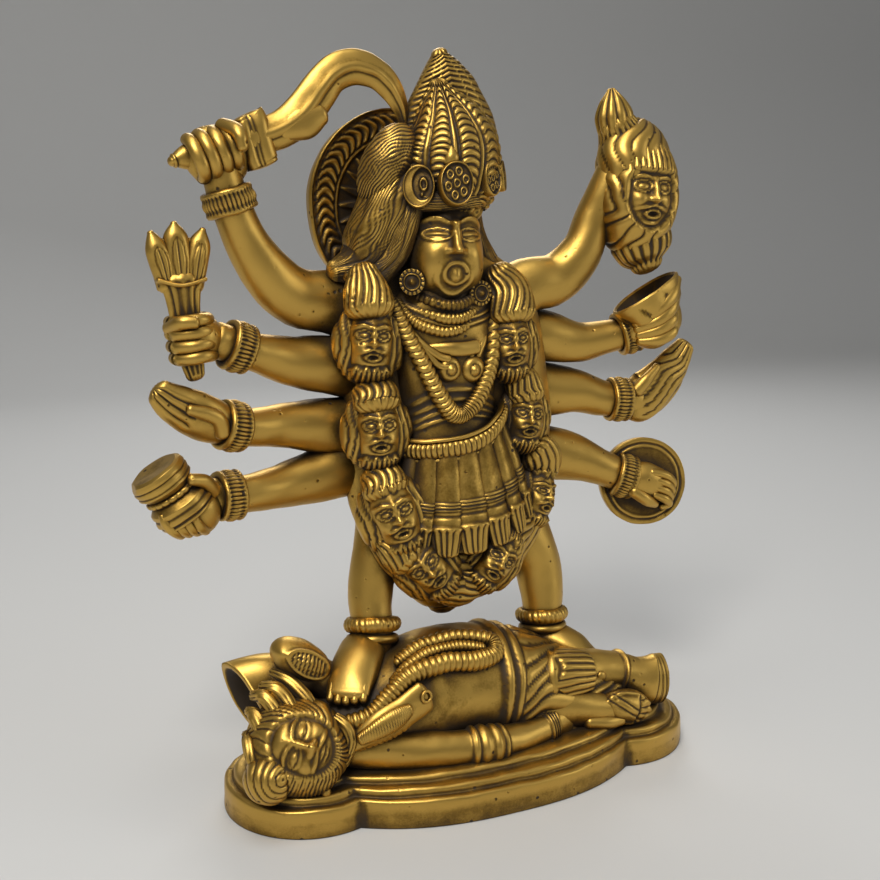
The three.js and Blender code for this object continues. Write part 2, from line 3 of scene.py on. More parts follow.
import bpy
import numpy as np
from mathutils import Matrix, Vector


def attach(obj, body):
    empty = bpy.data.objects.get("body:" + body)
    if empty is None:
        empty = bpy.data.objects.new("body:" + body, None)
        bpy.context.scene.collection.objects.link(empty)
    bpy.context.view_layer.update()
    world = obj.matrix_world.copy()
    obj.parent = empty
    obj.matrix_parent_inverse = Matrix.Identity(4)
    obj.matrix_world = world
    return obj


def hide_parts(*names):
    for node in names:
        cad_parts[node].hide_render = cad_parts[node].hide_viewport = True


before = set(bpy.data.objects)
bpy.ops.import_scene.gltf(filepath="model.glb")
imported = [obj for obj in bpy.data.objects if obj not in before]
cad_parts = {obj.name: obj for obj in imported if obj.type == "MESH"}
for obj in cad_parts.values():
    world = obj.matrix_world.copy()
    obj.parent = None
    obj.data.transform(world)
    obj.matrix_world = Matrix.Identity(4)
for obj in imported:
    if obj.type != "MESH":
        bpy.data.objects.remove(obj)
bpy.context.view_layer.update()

# Viewpoint, floor and lights.
# Pale paper lies under the figure and curves up behind it, under large soft lamps as used for metal.
MM = 0.001
AIM = Vector((-8.7, 0.0, 100.8)) * MM
EYE = Vector((-141.9, -285.6, 156.4)) * MM

camera_data = bpy.data.cameras.new("camera")
camera_data.lens = 45.65
camera_data.sensor_width = 36.0
camera_data.clip_start = 0.01
camera = bpy.data.objects.new("camera", camera_data)
camera.location = EYE
camera.rotation_euler = (AIM - EYE).to_track_quat("-Z", "Y").to_euler()
bpy.context.scene.collection.objects.link(camera)
bpy.context.scene.camera = camera

for lamp_name, place, size, power, tint in (
    ("key_lamp", (-0.40, -0.50, 0.80), 0.30, 5.2, (1.0, 0.97, 0.92)),
    ("fill_lamp", (0.80, -0.60, 0.35), 0.45, 1.3, (0.95, 0.97, 1.0)),
    ("back_lamp", (0.30, 0.75, 0.70), 0.45, 2.6, (1.0, 1.0, 1.0)),
    ("top_lamp", (-0.15, -0.10, 1.0), 0.40, 1.9, (1.0, 1.0, 1.0)),
):
    lamp_data = bpy.data.lights.new(lamp_name, "AREA")
    lamp_data.size = size
    lamp_data.energy = power
    lamp_data.color = tint
    lamp = bpy.data.objects.new(lamp_name, lamp_data)
    lamp.location = place
    lamp.rotation_euler = (AIM - Vector(place)).to_track_quat("-Z", "Y").to_euler()
    bpy.context.scene.collection.objects.link(lamp)

world = bpy.data.worlds.new("studio")
world.use_nodes = True
backdrop = world.node_tree.nodes["Background"]
backdrop.inputs["Strength"].default_value = 0.34
sky = world.node_tree.nodes.new("ShaderNodeTexCoord")
split = world.node_tree.nodes.new("ShaderNodeSeparateXYZ")
fade = world.node_tree.nodes.new("ShaderNodeValToRGB")
fade.color_ramp.elements[0].position = 0.0
fade.color_ramp.elements[0].color = (0.16, 0.16, 0.17, 1.0)
fade.color_ramp.elements[1].position = 0.75
fade.color_ramp.elements[1].color = (1.0, 1.0, 1.0, 1.0)
world.node_tree.links.new(sky.outputs["Generated"], split.inputs["Vector"])
world.node_tree.links.new(split.outputs["Z"], fade.inputs["Fac"])
world.node_tree.links.new(fade.outputs["Color"], backdrop.inputs["Color"])
paper = world.node_tree.nodes.new("ShaderNodeBackground")
paper.inputs["Color"].default_value = (0.86, 0.86, 0.86, 1.0)
seen = world.node_tree.nodes.new("ShaderNodeLightPath")
either = world.node_tree.nodes.new("ShaderNodeMixShader")
world.node_tree.links.new(seen.outputs["Is Camera Ray"], either.inputs["Fac"])
world.node_tree.links.new(backdrop.outputs["Background"], either.inputs[1])
world.node_tree.links.new(paper.outputs["Background"], either.inputs[2])
world.node_tree.links.new(either.outputs["Shader"], world.node_tree.nodes["World Output"].inputs["Surface"])
bpy.context.scene.world = world
bpy.context.scene.view_settings.view_transform = "Standard"

bend = np.linspace(0, np.pi / 2, 24)
front_edge = [(-4.8, 1.3), (-4.75, 0.5), (-4.5, 0.15), (-4.0, 0.0)]
rear_curve = zip(0.9 + 0.5 * np.sin(bend), 0.5 - 0.5 * np.cos(bend))
side_view = [*front_edge, *rear_curve, (1.4, 4.0)]
paper_points = [(x, float(y), float(z)) for y, z in side_view for x in (-30.0, 30.0)]
paper_faces = [(2 * k, 2 * k + 1, 2 * k + 3, 2 * k + 2) for k in range(len(side_view) - 1)]
floor_mesh = bpy.data.meshes.new("floor")
floor_mesh.from_pydata(paper_points, [], paper_faces)
floor_mesh.polygons.foreach_set("use_smooth", [True] * len(paper_faces))
floor = bpy.data.objects.new("floor", floor_mesh)
bpy.context.scene.collection.objects.link(floor)
floor_material = bpy.data.materials.new("floor_paper")
floor_material.use_nodes = True
floor_shader = floor_material.node_tree.nodes["Principled BSDF"]
floor_shader.inputs["Base Color"].default_value = (0.62, 0.62, 0.61, 1.0)
floor_shader.inputs["Roughness"].default_value = 0.7
floor_mesh.materials.append(floor_material)


# Cast brass.
# Yellow brass from a sand mould, tumbled and rubbed: high places are bright, recesses keep a dark brown
# patina, and an occlusion mask also darkens the colour, painted shade wherever a surface is sheltered,
# near the floor and between parts as well. Fine casting pits are left all over. Every piece below is of
# this one metal.
BRIGHT = (0.60, 0.375, 0.085, 1.0)
BODY = (0.30, 0.178, 0.034, 1.0)
DULL = (0.130, 0.074, 0.019, 1.0)
DARK = (0.030, 0.018, 0.008, 1.0)


def wire(tree, source, target):
    """Joins an output socket to an input socket."""
    tree.links.new(source, target)


def sum_of(tree, terms):
    """Adds a row of (socket, factor) terms with Multiply Add nodes, and gives the last output."""
    total = None
    for socket, factor in terms:
        node = tree.nodes.new("ShaderNodeMath")
        node.operation = "MULTIPLY_ADD"
        wire(tree, socket, node.inputs[0])
        node.inputs[1].default_value = factor
        if total is None:
            node.inputs[2].default_value = 0.0
        else:
            wire(tree, total, node.inputs[2])
        total = node.outputs[0]
    return total


def patina_and_shade_group():
    """Colour, roughness, metal share and normal of rubbed cast brass, from relief, shelter and grime;
    shelter and grime darken the colour as patina and as painted shade.
    """
    group = bpy.data.node_groups.new("rubbed_patina_and_shade", "ShaderNodeTree")
    for label in ("Relief", "Openness", "Grime_and_shade"):
        group.interface.new_socket(label, in_out="INPUT", socket_type="NodeSocketFloat")
    group.interface.new_socket("Colour", in_out="OUTPUT", socket_type="NodeSocketColor")
    group.interface.new_socket("Roughness", in_out="OUTPUT", socket_type="NodeSocketFloat")
    group.interface.new_socket("Metal", in_out="OUTPUT", socket_type="NodeSocketFloat")
    group.interface.new_socket("Normal", in_out="OUTPUT", socket_type="NodeSocketVector")
    nodes = group.nodes
    given = nodes.new("NodeGroupInput")
    result = nodes.new("NodeGroupOutput")
    coordinates = nodes.new("ShaderNodeTexCoord")

    def noise(scale, detail):
        node = nodes.new("ShaderNodeTexNoise")
        node.inputs["Scale"].default_value = scale
        node.inputs["Detail"].default_value = detail
        wire(group, coordinates.outputs["Object"], node.inputs["Vector"])
        return node.outputs["Fac"]

    def ranged(value, low, high, at_low, at_high):
        node = nodes.new("ShaderNodeMapRange")
        node.inputs["From Min"].default_value = low
        node.inputs["From Max"].default_value = high
        node.inputs["To Min"].default_value = at_low
        node.inputs["To Max"].default_value = at_high
        wire(group, value, node.inputs["Value"])
        return node.outputs["Result"]

    wave = noise(75.0, 2.0)
    cloud = noise(240.0, 4.0)
    grain = noise(1500.0, 3.0)
    pits = nodes.new("ShaderNodeTexVoronoi")
    pits.inputs["Scale"].default_value = 300.0
    wire(group, coordinates.outputs["Object"], pits.inputs["Vector"])
    pitted = nodes.new("ShaderNodeMath")
    pitted.operation = "MULTIPLY"
    wire(group, ranged(pits.outputs["Distance"], 0.09, 0.20, 1.0, 0.0), pitted.inputs[0])
    wire(group, ranged(cloud, 0.52, 0.60, 0.0, 1.0), pitted.inputs[1])

    # Openness and grime lower the level towards DARK: real patina in hollows, and painted shade in every
    # sheltered place.
    level = sum_of(
        group,
        [
            (given.outputs["Relief"], 0.24),
            (given.outputs["Openness"], 0.85),
            (given.outputs["Grime_and_shade"], -0.42),
            (wave, 0.25),
            (cloud, 0.29),
            (grain, 0.16),
            (pitted.outputs[0], -0.5),
        ],
    )
    ramp = nodes.new("ShaderNodeValToRGB")
    ramp.color_ramp.elements[0].position = 0.56
    ramp.color_ramp.elements[0].color = DARK
    ramp.color_ramp.elements[1].position = 1.0
    ramp.color_ramp.elements[1].color = BRIGHT
    dull = ramp.color_ramp.elements.new(0.74)
    dull.color = DULL
    body = ramp.color_ramp.elements.new(0.88)
    body.color = BODY
    shift = nodes.new("ShaderNodeMath")
    shift.operation = "SUBTRACT"
    shift.inputs[1].default_value = 0.235
    wire(group, level, shift.inputs[0])
    level = shift.outputs[0]
    wire(group, level, ramp.inputs["Fac"])
    wire(group, ramp.outputs["Color"], result.inputs["Colour"])

    wire(group, ranged(level, 0.60, 0.98, 0.64, 0.40), result.inputs["Roughness"])
    wire(group, ranged(level, 0.54, 0.76, 0.20, 1.0), result.inputs["Metal"])

    height = sum_of(group, [(wave, 0.30), (cloud, 0.16), (grain, 0.045), (pitted.outputs[0], -0.30)])
    bump = nodes.new("ShaderNodeBump")
    bump.inputs["Strength"].default_value = 0.42
    bump.inputs["Distance"].default_value = 0.001
    wire(group, height, bump.inputs["Height"])
    wire(group, bump.outputs["Normal"], result.inputs["Normal"])
    return group


PATINA_AND_SHADE = patina_and_shade_group()
brass = bpy.data.materials.new("cast_brass")
brass.use_nodes = True
brass_tree = brass.node_tree
shader = brass_tree.nodes["Principled BSDF"]
patina_and_shade = brass_tree.nodes.new("ShaderNodeGroup")
patina_and_shade.node_tree = PATINA_AND_SHADE
# Ambient occlusion within 7 mm darkens the colour: patina in the hollows, and painted shade near the floor
# and between parts.
shelter = brass_tree.nodes.new("ShaderNodeAmbientOcclusion")
shelter.inputs["Distance"].default_value = 7 * MM
shelter.samples = 6
for label, socket in (("relief", "Relief"), ("grime_and_shade", "Grime_and_shade")):
    reader = brass_tree.nodes.new("ShaderNodeAttribute")
    reader.attribute_name = label
    wire(brass_tree, reader.outputs["Fac"], patina_and_shade.inputs[socket])
wire(brass_tree, shelter.outputs["AO"], patina_and_shade.inputs["Openness"])
wire(brass_tree, patina_and_shade.outputs["Colour"], shader.inputs["Base Color"])
wire(brass_tree, patina_and_shade.outputs["Roughness"], shader.inputs["Roughness"])
wire(brass_tree, patina_and_shade.outputs["Metal"], shader.inputs["Metallic"])
wire(brass_tree, patina_and_shade.outputs["Normal"], shader.inputs["Normal"])


# Plinth.
# A wide middle between two round end lobes, with a low ledge and a raised bed for the reclining figure.
# It is one wall run round the outline, closed above and below.
LOBE_CENTRE_X = 50.0
LOBE_RADIUS = 24.0
PLINTH_HALF_DEPTH = 33.5
NOTCH_ANGLE = np.radians(73)
UNEVENNESS = 0.24
LOWEST_CORNER = (-94, -33.4, 0)
HIGHEST_CORNER = (87.1, 33.4, 210.6)


def grid_faces(rows, columns, wrapped):
    """Quads between neighbouring rows and columns of a grid, with a fan at each pole unless wrapped."""
    row = np.arange(rows if wrapped else rows - 1)[:, None]
    column = np.arange(columns)[None, :]
    near = row * columns
    far = ((row + 1) % rows) * columns
    beside = (column + 1) % columns
    quads = np.stack([near + column, near + beside, far + beside, far + column], -1).reshape(-1, 4)
    if wrapped:
        return quads, np.zeros((0, 3), int)
    column = column[0]
    beside = beside[0]
    first = np.stack([np.full(columns, rows * columns), beside, column], -1)
    last_row = (rows - 1) * columns
    last = np.stack([np.full(columns, rows * columns + 1), last_row + column, last_row + beside], -1)
    return quads, np.concatenate([first, last])


def relief_of(points, wrapped):
    """How far each point stands out of its own smoothed surface, in mm: up on ridges, below in grooves."""

    def sides(field):
        above = np.roll(field, 1, 0)
        below = np.roll(field, -1, 0)
        if not wrapped:
            above[0] = field[0]
            below[-1] = field[-1]
        return above, below, np.roll(field, 1, 1), np.roll(field, -1, 1)

    above, below, left, right = sides(points)
    normal = np.cross(right - left, below - above)
    normal /= np.linalg.norm(normal, axis=-1, keepdims=True) + 1e-12
    smooth = points
    for _ in range(5):
        smooth = sum(sides(smooth)) / 8 + smooth / 2
    return ((points - smooth) * normal).sum(-1)


def step(x, low, high):
    """Smooth rise from 0 at low to 1 at high."""
    t = np.clip((x - low) / (high - low), 0, 1)
    return t * t * (3 - 2 * t)


def uneven(points):
    """Moves points as a hand-cut pattern strays from true, by seeded sine waves of 0.1 mm or so."""
    dice = np.random.default_rng(7)
    shift = np.zeros_like(points)
    for length, height in ((31, 0.30), (23, 0.26), (15, 0.20), (11, 0.16), (7.4, 0.12), (5.2, 0.10)):
        for _ in range(3):
            wave = dice.normal(size=3)
            wave *= 2 * np.pi / length / np.linalg.norm(wave)
            shift += height * dice.normal(size=3) * np.sin(points @ wave + dice.uniform(0, 6))[..., None]
    shift *= UNEVENNESS * step(points[..., 2], 0, 3)[..., None]
    return np.clip(points + shift, LOWEST_CORNER, HIGHEST_CORNER)


def cast(name, shells, sharpness=14.0):
    """One piece of brass from closed grids of points in mm; each shell is (points, wrapped, grime and
    painted shade).
    """
    corners, reliefs, grime_and_shade_values, quad_list, fan_list = [], [], [], [], []
    start = 0
    for points, wrapped, grime_and_shade in shells:
        rows, columns, _ = points.shape
        height = relief_of(points, wrapped)
        points = uneven(points)
        flat = points.reshape(-1, 3)
        quads, fans = grid_faces(rows, columns, wrapped)
        a, b, c, d = (flat[quads[:, k]] for k in range(4))
        volume = (a * np.cross(b, c)).sum() + (a * np.cross(c, d)).sum()
        if not wrapped:
            flat = np.concatenate([flat, [points[0].mean(0), points[-1].mean(0)]])
            height = np.concatenate([height.ravel(), [height[0].mean(), height[-1].mean()]])
        if volume < 0:
            quads = quads[:, ::-1]
            fans = fans[:, ::-1]
            height = -height
        corners.append(flat * MM)
        reliefs.append(np.clip(height.ravel() * sharpness, -1, 1))
        # Grime per row: real grime, and painted shade where a shell sets it high, in hollows and under the
        # chin.
        dirt_and_shade = np.broadcast_to(np.reshape(grime_and_shade, (-1, 1)), (rows, columns)).ravel()
        grime_and_shade_values.append(np.concatenate([dirt_and_shade, np.full(len(flat) - len(dirt_and_shade), np.mean(grime_and_shade))]))
        quad_list.append(quads + start)
        fan_list.append(fans + start)
        start += len(flat)
    corners = np.concatenate(corners)
    quads = np.concatenate(quad_list)
    fans = np.concatenate(fan_list)
    mesh = bpy.data.meshes.new(name)
    mesh.vertices.add(len(corners))
    mesh.vertices.foreach_set("co", corners.ravel())
    mesh.loops.add(quads.size + fans.size)
    mesh.loops.foreach_set("vertex_index", np.concatenate([quads.ravel(), fans.ravel()]).astype(np.int32))
    mesh.polygons.add(len(quads) + len(fans))
    starts = np.concatenate([np.arange(len(quads)) * 4, quads.size + np.arange(len(fans)) * 3])
    mesh.polygons.foreach_set("loop_start", starts.astype(np.int32))
    mesh.polygons.foreach_set("use_smooth", np.ones(len(starts), bool))
    mesh.update(calc_edges=True)
    for label, values in (("relief", reliefs), ("grime_and_shade", grime_and_shade_values)):
        field = mesh.attributes.new(label, "FLOAT", "POINT")
        field.data.foreach_set("value", np.concatenate(values).astype(np.float32))
    mesh.materials.append(brass)
    piece = bpy.data.objects.new(name, mesh)
    bpy.context.scene.collection.objects.link(piece)
    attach(piece, "root")
    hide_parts("kali_figure")
    return piece


def plinth_outline(inset):
    """Outline drawn in by inset: two lobe arcs, and a middle bulging as 1 - |x|^2.6 between the notches."""
    radius = LOBE_RADIUS - inset
    notch_x = LOBE_CENTRE_X - radius * np.cos(NOTCH_ANGLE)
    notch_y = radius * np.sin(NOTCH_ANGLE)
    bulge = PLINTH_HALF_DEPTH - inset - notch_y
    angle = np.linspace(NOTCH_ANGLE - np.pi, np.pi - NOTCH_ANGLE, 74)
    lobe = np.stack([LOBE_CENTRE_X + radius * np.cos(angle), radius * np.sin(angle)], -1)
    share = np.linspace(1, -1, 88)[1:-1]
    middle = np.stack([notch_x * share, notch_y + bulge * (1 - np.abs(share) ** 2.6)], -1)
    return np.concatenate([lobe, middle, -lobe, -middle])


wall = [
    (4.0, 0.0),
    (0.5, 0.0),
    (0.12, 0.12),
    (0.0, 0.5),
    (0.0, 2.0),
    (0.05, 4.0),
    (0.0, 6.0),
    (0.05, 7.2),
    (0.3, 7.8),
    (0.9, 8.1),
    (1.9, 8.15),
    (2.5, 8.2),
    (2.75, 8.6),
    (2.8, 9.3),
    (3.0, 10.0),
    (3.5, 10.4),
    (4.6, 10.5),
    (6.0, 10.45),
    (6.7, 10.5),
    (7.0, 10.9),
    (7.15, 11.6),
    (7.6, 12.1),
    (8.6, 12.3),
    (12.0, 12.4),
    (18.0, 12.4),
]
wall = np.concatenate([np.linspace(a, b, 3)[:-1] for a, b in zip(wall[:-1], wall[1:])] + [[wall[-1]]])
plinth_rows = []
for inset, height in wall:
    outline = plinth_outline(inset)
    plinth_rows.append(np.column_stack([outline, np.full(len(outline), height)]))
# Negative grime brightens the plinth's colour against the painted shade that the occlusion mask lays near
# the floor.
cast("plinth", [(np.stack(plinth_rows), False, -0.2)])


# Reclining figure.
# A man asleep on the bed of the plinth, head to the left: body, arm, legs, fringed waist cloth, a beaded
# cord looped over the chest, and a hollow bolster behind the head. Cast in one with the plinth.
# Rows of points in each rounded end that loft makes.
CAP_ROWS = 4


def between(rows, shares):
    """Catmull-Rom spline through the rows, read at each share from 0 to 1, in every column."""
    rows = np.asarray(rows, float)
    reach = np.clip(shares, 0, 1) * (len(rows) - 1)
    k = np.minimum(reach.astype(int), len(rows) - 2)
    t = (reach - k)[:, None]
    a = rows[np.maximum(k - 1, 0)]
    b = rows[k]
    c = rows[k + 1]
    d = rows[np.minimum(k + 2, len(rows) - 1)]
    return b + 0.5 * t * (c - a + t * (2 * a - 5 * b + 4 * c - d + t * (3 * (b - c) + d - a)))


def columns(count, gather):
    """Angles round a form, t - gather * cos t for even t, so that they lie closer together at its front."""
    t = np.linspace(0, 2 * np.pi, count, endpoint=False)
    return (t - gather * np.cos(t))[None, :]


def loft(rows, steps, around, side=(0, 1, 0), relief=None, ends=(0.8, 0.8), grime_and_shade=0.0, gather=0.0):
    """Oval sections along the spline of rows of x, y, z, width, depth, the depth lying along side.
    relief(share, turn) stands out in mm, turn 0 across, a quarter turn along side; the ends round off."""
    arc = (np.arange(CAP_ROWS) + 0.5) / CAP_ROWS * np.pi / 2
    share = np.concatenate([np.zeros(CAP_ROWS), np.linspace(0, 1, steps), np.ones(CAP_ROWS)])
    shrink = np.concatenate([np.sin(arc), np.ones(steps), np.cos(arc)])
    table = between(rows, share)
    ahead = between(rows, np.minimum(share + 0.01, 1)) - between(rows, np.maximum(share - 0.01, 0))
    ahead = ahead[:, :3] / np.linalg.norm(ahead[:, :3], axis=1, keepdims=True)
    across = np.cross(np.asarray(side, float), ahead)
    across /= np.linalg.norm(across, axis=1, keepdims=True)
    deep = np.cross(ahead, across)
    reach = np.minimum(table[:, 3], table[:, 4]) / 2
    push = np.zeros(len(share))
    push[:CAP_ROWS] = -np.cos(arc) * reach[:CAP_ROWS] * ends[0]
    push[-CAP_ROWS:] = np.sin(arc) * reach[-CAP_ROWS:] * ends[1]
    turn = columns(around, gather)
    wide = (np.cos(turn) * table[:, 3:4] / 2)[..., None] * across[:, None]
    thick = (np.sin(turn) * table[:, 4:5] / 2)[..., None] * deep[:, None]
    out = (wide + thick) * shrink[:, None, None]
    if relief is not None:
        length = np.linalg.norm(out, axis=-1, keepdims=True) + 1e-9
        out += out / length * (relief(share[:, None], turn) * shrink[:, None])[..., None]
    points = table[:, None, :3] + push[:, None, None] * ahead[:, None] + out
    return points, False, grime_and_shade


def spun(points, angles, centre):
    """Turns points about Y, then X, then Z by degrees, and carries them to centre."""
    about_y, about_x, about_z = np.radians(angles)
    cy, sy, cx, sx, cz, sz = (
        np.cos(about_y), np.sin(about_y), np.cos(about_x), np.sin(about_x), np.cos(about_z), np.sin(about_z)
    )
    turn_y = np.array([[cy, 0, sy], [0, 1, 0], [-sy, 0, cy]])
    turn_x = np.array([[1, 0, 0], [0, cx, -sx], [0, sx, cx]])
    turn_z = np.array([[cz, -sz, 0], [sz, cz, 0], [0, 0, 1]])
    return points @ (turn_z @ turn_x @ turn_y).T + np.asarray(centre, float)


def egg(centre, radii, angles=(0, 0, 0), around=44, along=34, relief=None, grime_and_shade=0.0, gather=0.0):
    """Ellipsoid; relief(x, y, z) of each point's unit direction stands out along it, in mm."""
    turn = columns(around, gather)
    polar = ((np.arange(along) + 0.5) / along * np.pi)[:, None]
    x = np.sin(polar) * np.cos(turn)
    y = np.sin(polar) * np.sin(turn)
    z = np.cos(polar) * np.ones_like(turn)
    unit = np.stack([x, y, z], -1)
    points = unit * np.asarray(radii, float)
    if relief is not None:
        points += unit * relief(x, y, z)[..., None]
    return spun(points, angles, centre), False, grime_and_shade


def bump(x, z, x0, z0, wide, tall):
    """A soft round hill of height 1, as the exponential of minus the squared distance in its own radii."""
    return np.exp(-(((x - x0) / wide) ** 2) - ((z - z0) / tall) ** 2)


def line(distance, thick):
    """A ridge of height 1 where distance is 0, as the exponential of minus (distance / thick) squared."""
    return np.exp(-((distance / thick) ** 2))


def rim(x, z, x0, z0, wide, tall, thick):
    """A ridge of height 1 along an oval, thick being its half width as a share of the oval's radius."""
    return line(np.hypot((x - x0) / wide, (z - z0) / tall) - 1, thick)


def ribs(phase):
    """Rounded ridges between sharp grooves, 0 in a groove and 1 on a ridge, one for each unit of phase."""
    return np.sqrt(np.abs(np.sin(np.pi * phase)))


def cloth(share, turn):
    """Two hatched folds wound round the hips, then drapery drawn towards the thigh."""
    lean = share + 0.012 * np.sin(turn)
    folds = line(lean - 0.545, 0.016) + line(lean - 0.59, 0.016)
    hatch = 0.25 * ribs(26 * turn / np.pi + 40 * share)
    drape = step(share, 0.61, 0.63)
    creases = ribs(9 * turn / np.pi + 9 * share + 0.4 * np.sin(24 * share + 2 * turn))
    ribcage = 0.5 * line(share - 0.30, 0.03) * np.cos(3 * turn) ** 2
    return folds * (1.2 + hatch) + drape * (1.3 * creases - 0.1) + ribcage


lying_body = loft(
    [
        (-45, -4, 21.5, 18, 22),
        (-30, -1, 24.5, 28, 32),
        (-14, 1, 25.5, 36, 36),
        (2, 1, 25.5, 36, 36),
        (16, 0, 23.5, 31, 34),
        (30, -2, 20, 24, 28),
        (46, -3, 18, 16, 20),
    ],
    110,
    100,
    relief=cloth,
    grime_and_shade=0.1,
    gather=0.4,
)


def armlets(share, turn):
    """Two broad rings between two thin ones on the upper arm, and four thin ones at the wrist."""
    bands = ((0.40, 0.007), (0.43, 0.016), (0.47, 0.016), (0.50, 0.007))
    upper = sum(line(share - at, half) for at, half in bands)
    wrist = sum(line(share - at, 0.010) for at in (0.74, 0.77, 0.80, 0.83))
    return 1.2 * upper + 1.0 * wrist


near_arm = loft(
    [
        (-40, -11, 18.5, 13, 12),
        (-31, -14.5, 17, 12.5, 11),
        (-19, -17.5, 15.5, 11, 10),
        (-5, -19.4, 14.6, 10.6, 9.5),
        (7, -18.4, 14, 9.4, 9),
        (17, -16.4, 14.2, 9, 8),
        (22, -15.6, 14.6, 9.6, 6.4),
        (26.5, -15, 14.4, 11.6, 5),
    ],
    140,
    32,
    relief=armlets,
)
lying_fingers = [
    loft(
        [
            (24.5, -15.2, 10.6 + 1.9 * k, 2.6, 3.8),
            (28.6, -15.0, 9.9 + 2.3 * k, 2.4, 3.2),
            (31.6 - 0.7 * abs(k - 2), -14.6, 9.5 + 2.5 * k, 1.5, 2.2),
        ],
        10,
        12,
        grime_and_shade=0.1,
    )
    for k in range(5)
]
near_leg = loft(
    [
        (14, -9, 19, 18, 14),
        (30, -13, 18, 13, 11),
        (40, -15, 16.5, 9, 9),
        (46, -15.6, 16, 9, 8),
    ],
    20,
    32,
    grime_and_shade=0.2,
)


def sole(x, y, z):
    """Toes parted by grooves at the right end, a line across the ball and straps over the arch."""
    near = step(-y, 0.1, 0.5)
    toes = -0.8 * step(x, 0.42, 0.5) * (1 - ribs(2.4 * z + 0.5))
    ball = -0.9 * line(x - 0.40, 0.045)
    straps = -0.5 * line(z + 0.75 * x - 0.30, 0.05) - 0.5 * line(z + 0.75 * x + 0.15, 0.05)
    edge = 0.7 * line(np.hypot(x, z) - 0.88, 0.06)
    return near * (toes + ball + straps * (1 - step(x, 0.3, 0.4)) + edge)


near_sole = egg((46.0, -16.4, 16.8), (8.8, 4.8, 5.4), (10, 0, -6), 66, 54, sole, 0.1, 0.4)
near_toes = loft(
    [
        (33, -17.2, 13.8, 4.6, 4.4),
        (38, -18.2, 13.4, 5.2, 4.8),
        (43.6, -18.2, 13.2, 4, 4),
    ],
    12,
    16,
)


def fringe(share, turn):
    """Ten straight strands side by side, cut off raggedly, over a smooth hem."""
    ragged = 0.05 * np.sin(5 * turn)
    strands = 0.8 * ribs(11 * turn / np.pi) * step(share, 0.30 + ragged, 0.36 + ragged)
    hem = 0.7 * line(share - 0.24, 0.05)
    return strands + hem


loincloth = loft(
    [
        (19, -8, 27.4, 13, 16),
        (25, -9.6, 27.6, 15, 14.6),
        (31, -10.6, 27.6, 13.6, 12.6),
        (35.4, -10.8, 27.4, 11, 11),
    ],
    32,
    80,
    relief=fringe,
    gather=0.4,
    ends=(0.5, 0.25),
)


def shin(share, turn):
    """A bright folded hem near the knee, and long grooves down the upturned foot."""
    hem = 1.1 * line(share + 0.03 * np.sin(turn) - 0.42, 0.014)
    foot_lines = -0.5 * step(share, 0.80, 0.84) * (1 - ribs(46 * share)) * step(-np.sin(turn), 0, 0.4)
    return hem + foot_lines


far_leg = loft(
    [
        (14, -1, 25, 22, 20),
        (36, -4.6, 25.2, 15, 14.6),
        (48.6, -7, 24, 12, 11.6),
        (54.6, -8.8, 22, 13, 10.6),
        (59.6, -9.8, 20.4, 16.6, 11),
        (64, -10, 20.2, 16.4, 10.4),
    ],
    110,
    42,
    relief=shin,
    ends=(0.8, 0.3),
    grime_and_shade=0.1,
)
stud = egg((40.6, -11.8, 25.6), (1.8, 1.0, 1.8), (0, 0, 0), 18, 14)


def sleeping_face(x, y, z):
    """Face of closed lids, nose, moustache and lips inside an oval of hair strands combed back from it."""
    u = 12.4 * x
    v = 13.4 * z
    inside = (1 - step(np.hypot(u / 7.9, (v + 0.4) / 9.4), 0.88, 1.02)) * step(-y, -0.05, 0.15)
    face = inside * step(-y, 0.0, 0.2)
    lids = sum(
        -1.2 * bump(u, v, s * 3.7, 1.4, 3.0, 2.0)
        + 1.7 * bump(u, v, s * 3.7, 1.2, 2.2, 1.5)
        + 0.15 * rim(u, v, s * 3.7, 1.1, 2.7, 1.7, 0.2)
        - 0.5 * line(v - 0.3 - 0.08 * (u - s * 3.7) ** 2, 0.24) * bump(u, v, s * 3.7, 0.6, 2.2, 2)
        + 1.0 * line(v - 3.9 + 0.10 * (u - s * 3.8) ** 2, 0.55) * bump(u, v, s * 3.8, 4, 3.2, 3)
        + 1.0 * bump(u, v, s * 4.9, -3.0, 2.6, 2.6)
        for s in (-1, 1)
    )
    nose = 2.0 * bump(u, v, 0, 0.2, 1.1, 3.0) + 2.2 * bump(u, v, 0, -2.2, 1.9, 1.4)
    nose = nose + 0.8 * bump(u, v, 1.7, -2.6, 0.8, 0.8) + 0.8 * bump(u, v, -1.7, -2.6, 0.8, 0.8)
    moustache = sum(1.2 * bump(u, v + 0.16 * np.abs(u), s * 2.6, -4.0, 2.5, 0.7) for s in (-1, 1))
    lips = 0.9 * bump(u, v, 0, -5.6, 1.9, 0.5) + 0.9 * bump(u, v, 0, -6.8, 1.6, 0.5)
    forehead = 1.4 * bump(u, v, 0, 5.6, 4.6, 2.6)
    around = np.arctan2(u, v + 3)
    strand = ribs(
        around * 6.5 + 1.3 * np.sin(2.6 * y + 2.2 * x) + 0.7 * np.sin(3 * around + 4 * y) + 0.2 * v
    )
    hair = (1 - inside) * (0.9 + (0.65 + 0.25 * np.sin(5 * around)) * strand)
    return face * (lids + nose + moustache + lips + forehead) + hair


lying_head = egg(
    (-56.6, -11.2, 21.4),
    (12.0, 11.0, 13.0),
    (-68, -26, -10),
    124,
    112,
    sleeping_face,
    0.05,
    0.5,
)


def knot_lines(x, y, z):
    """Rings of hair wound round the knot, and the tie where it leaves the head."""
    return 0.55 * ribs(3.6 * np.hypot(x - 0.5, z - 0.3)) - 0.9 * line(x - 0.78, 0.07)


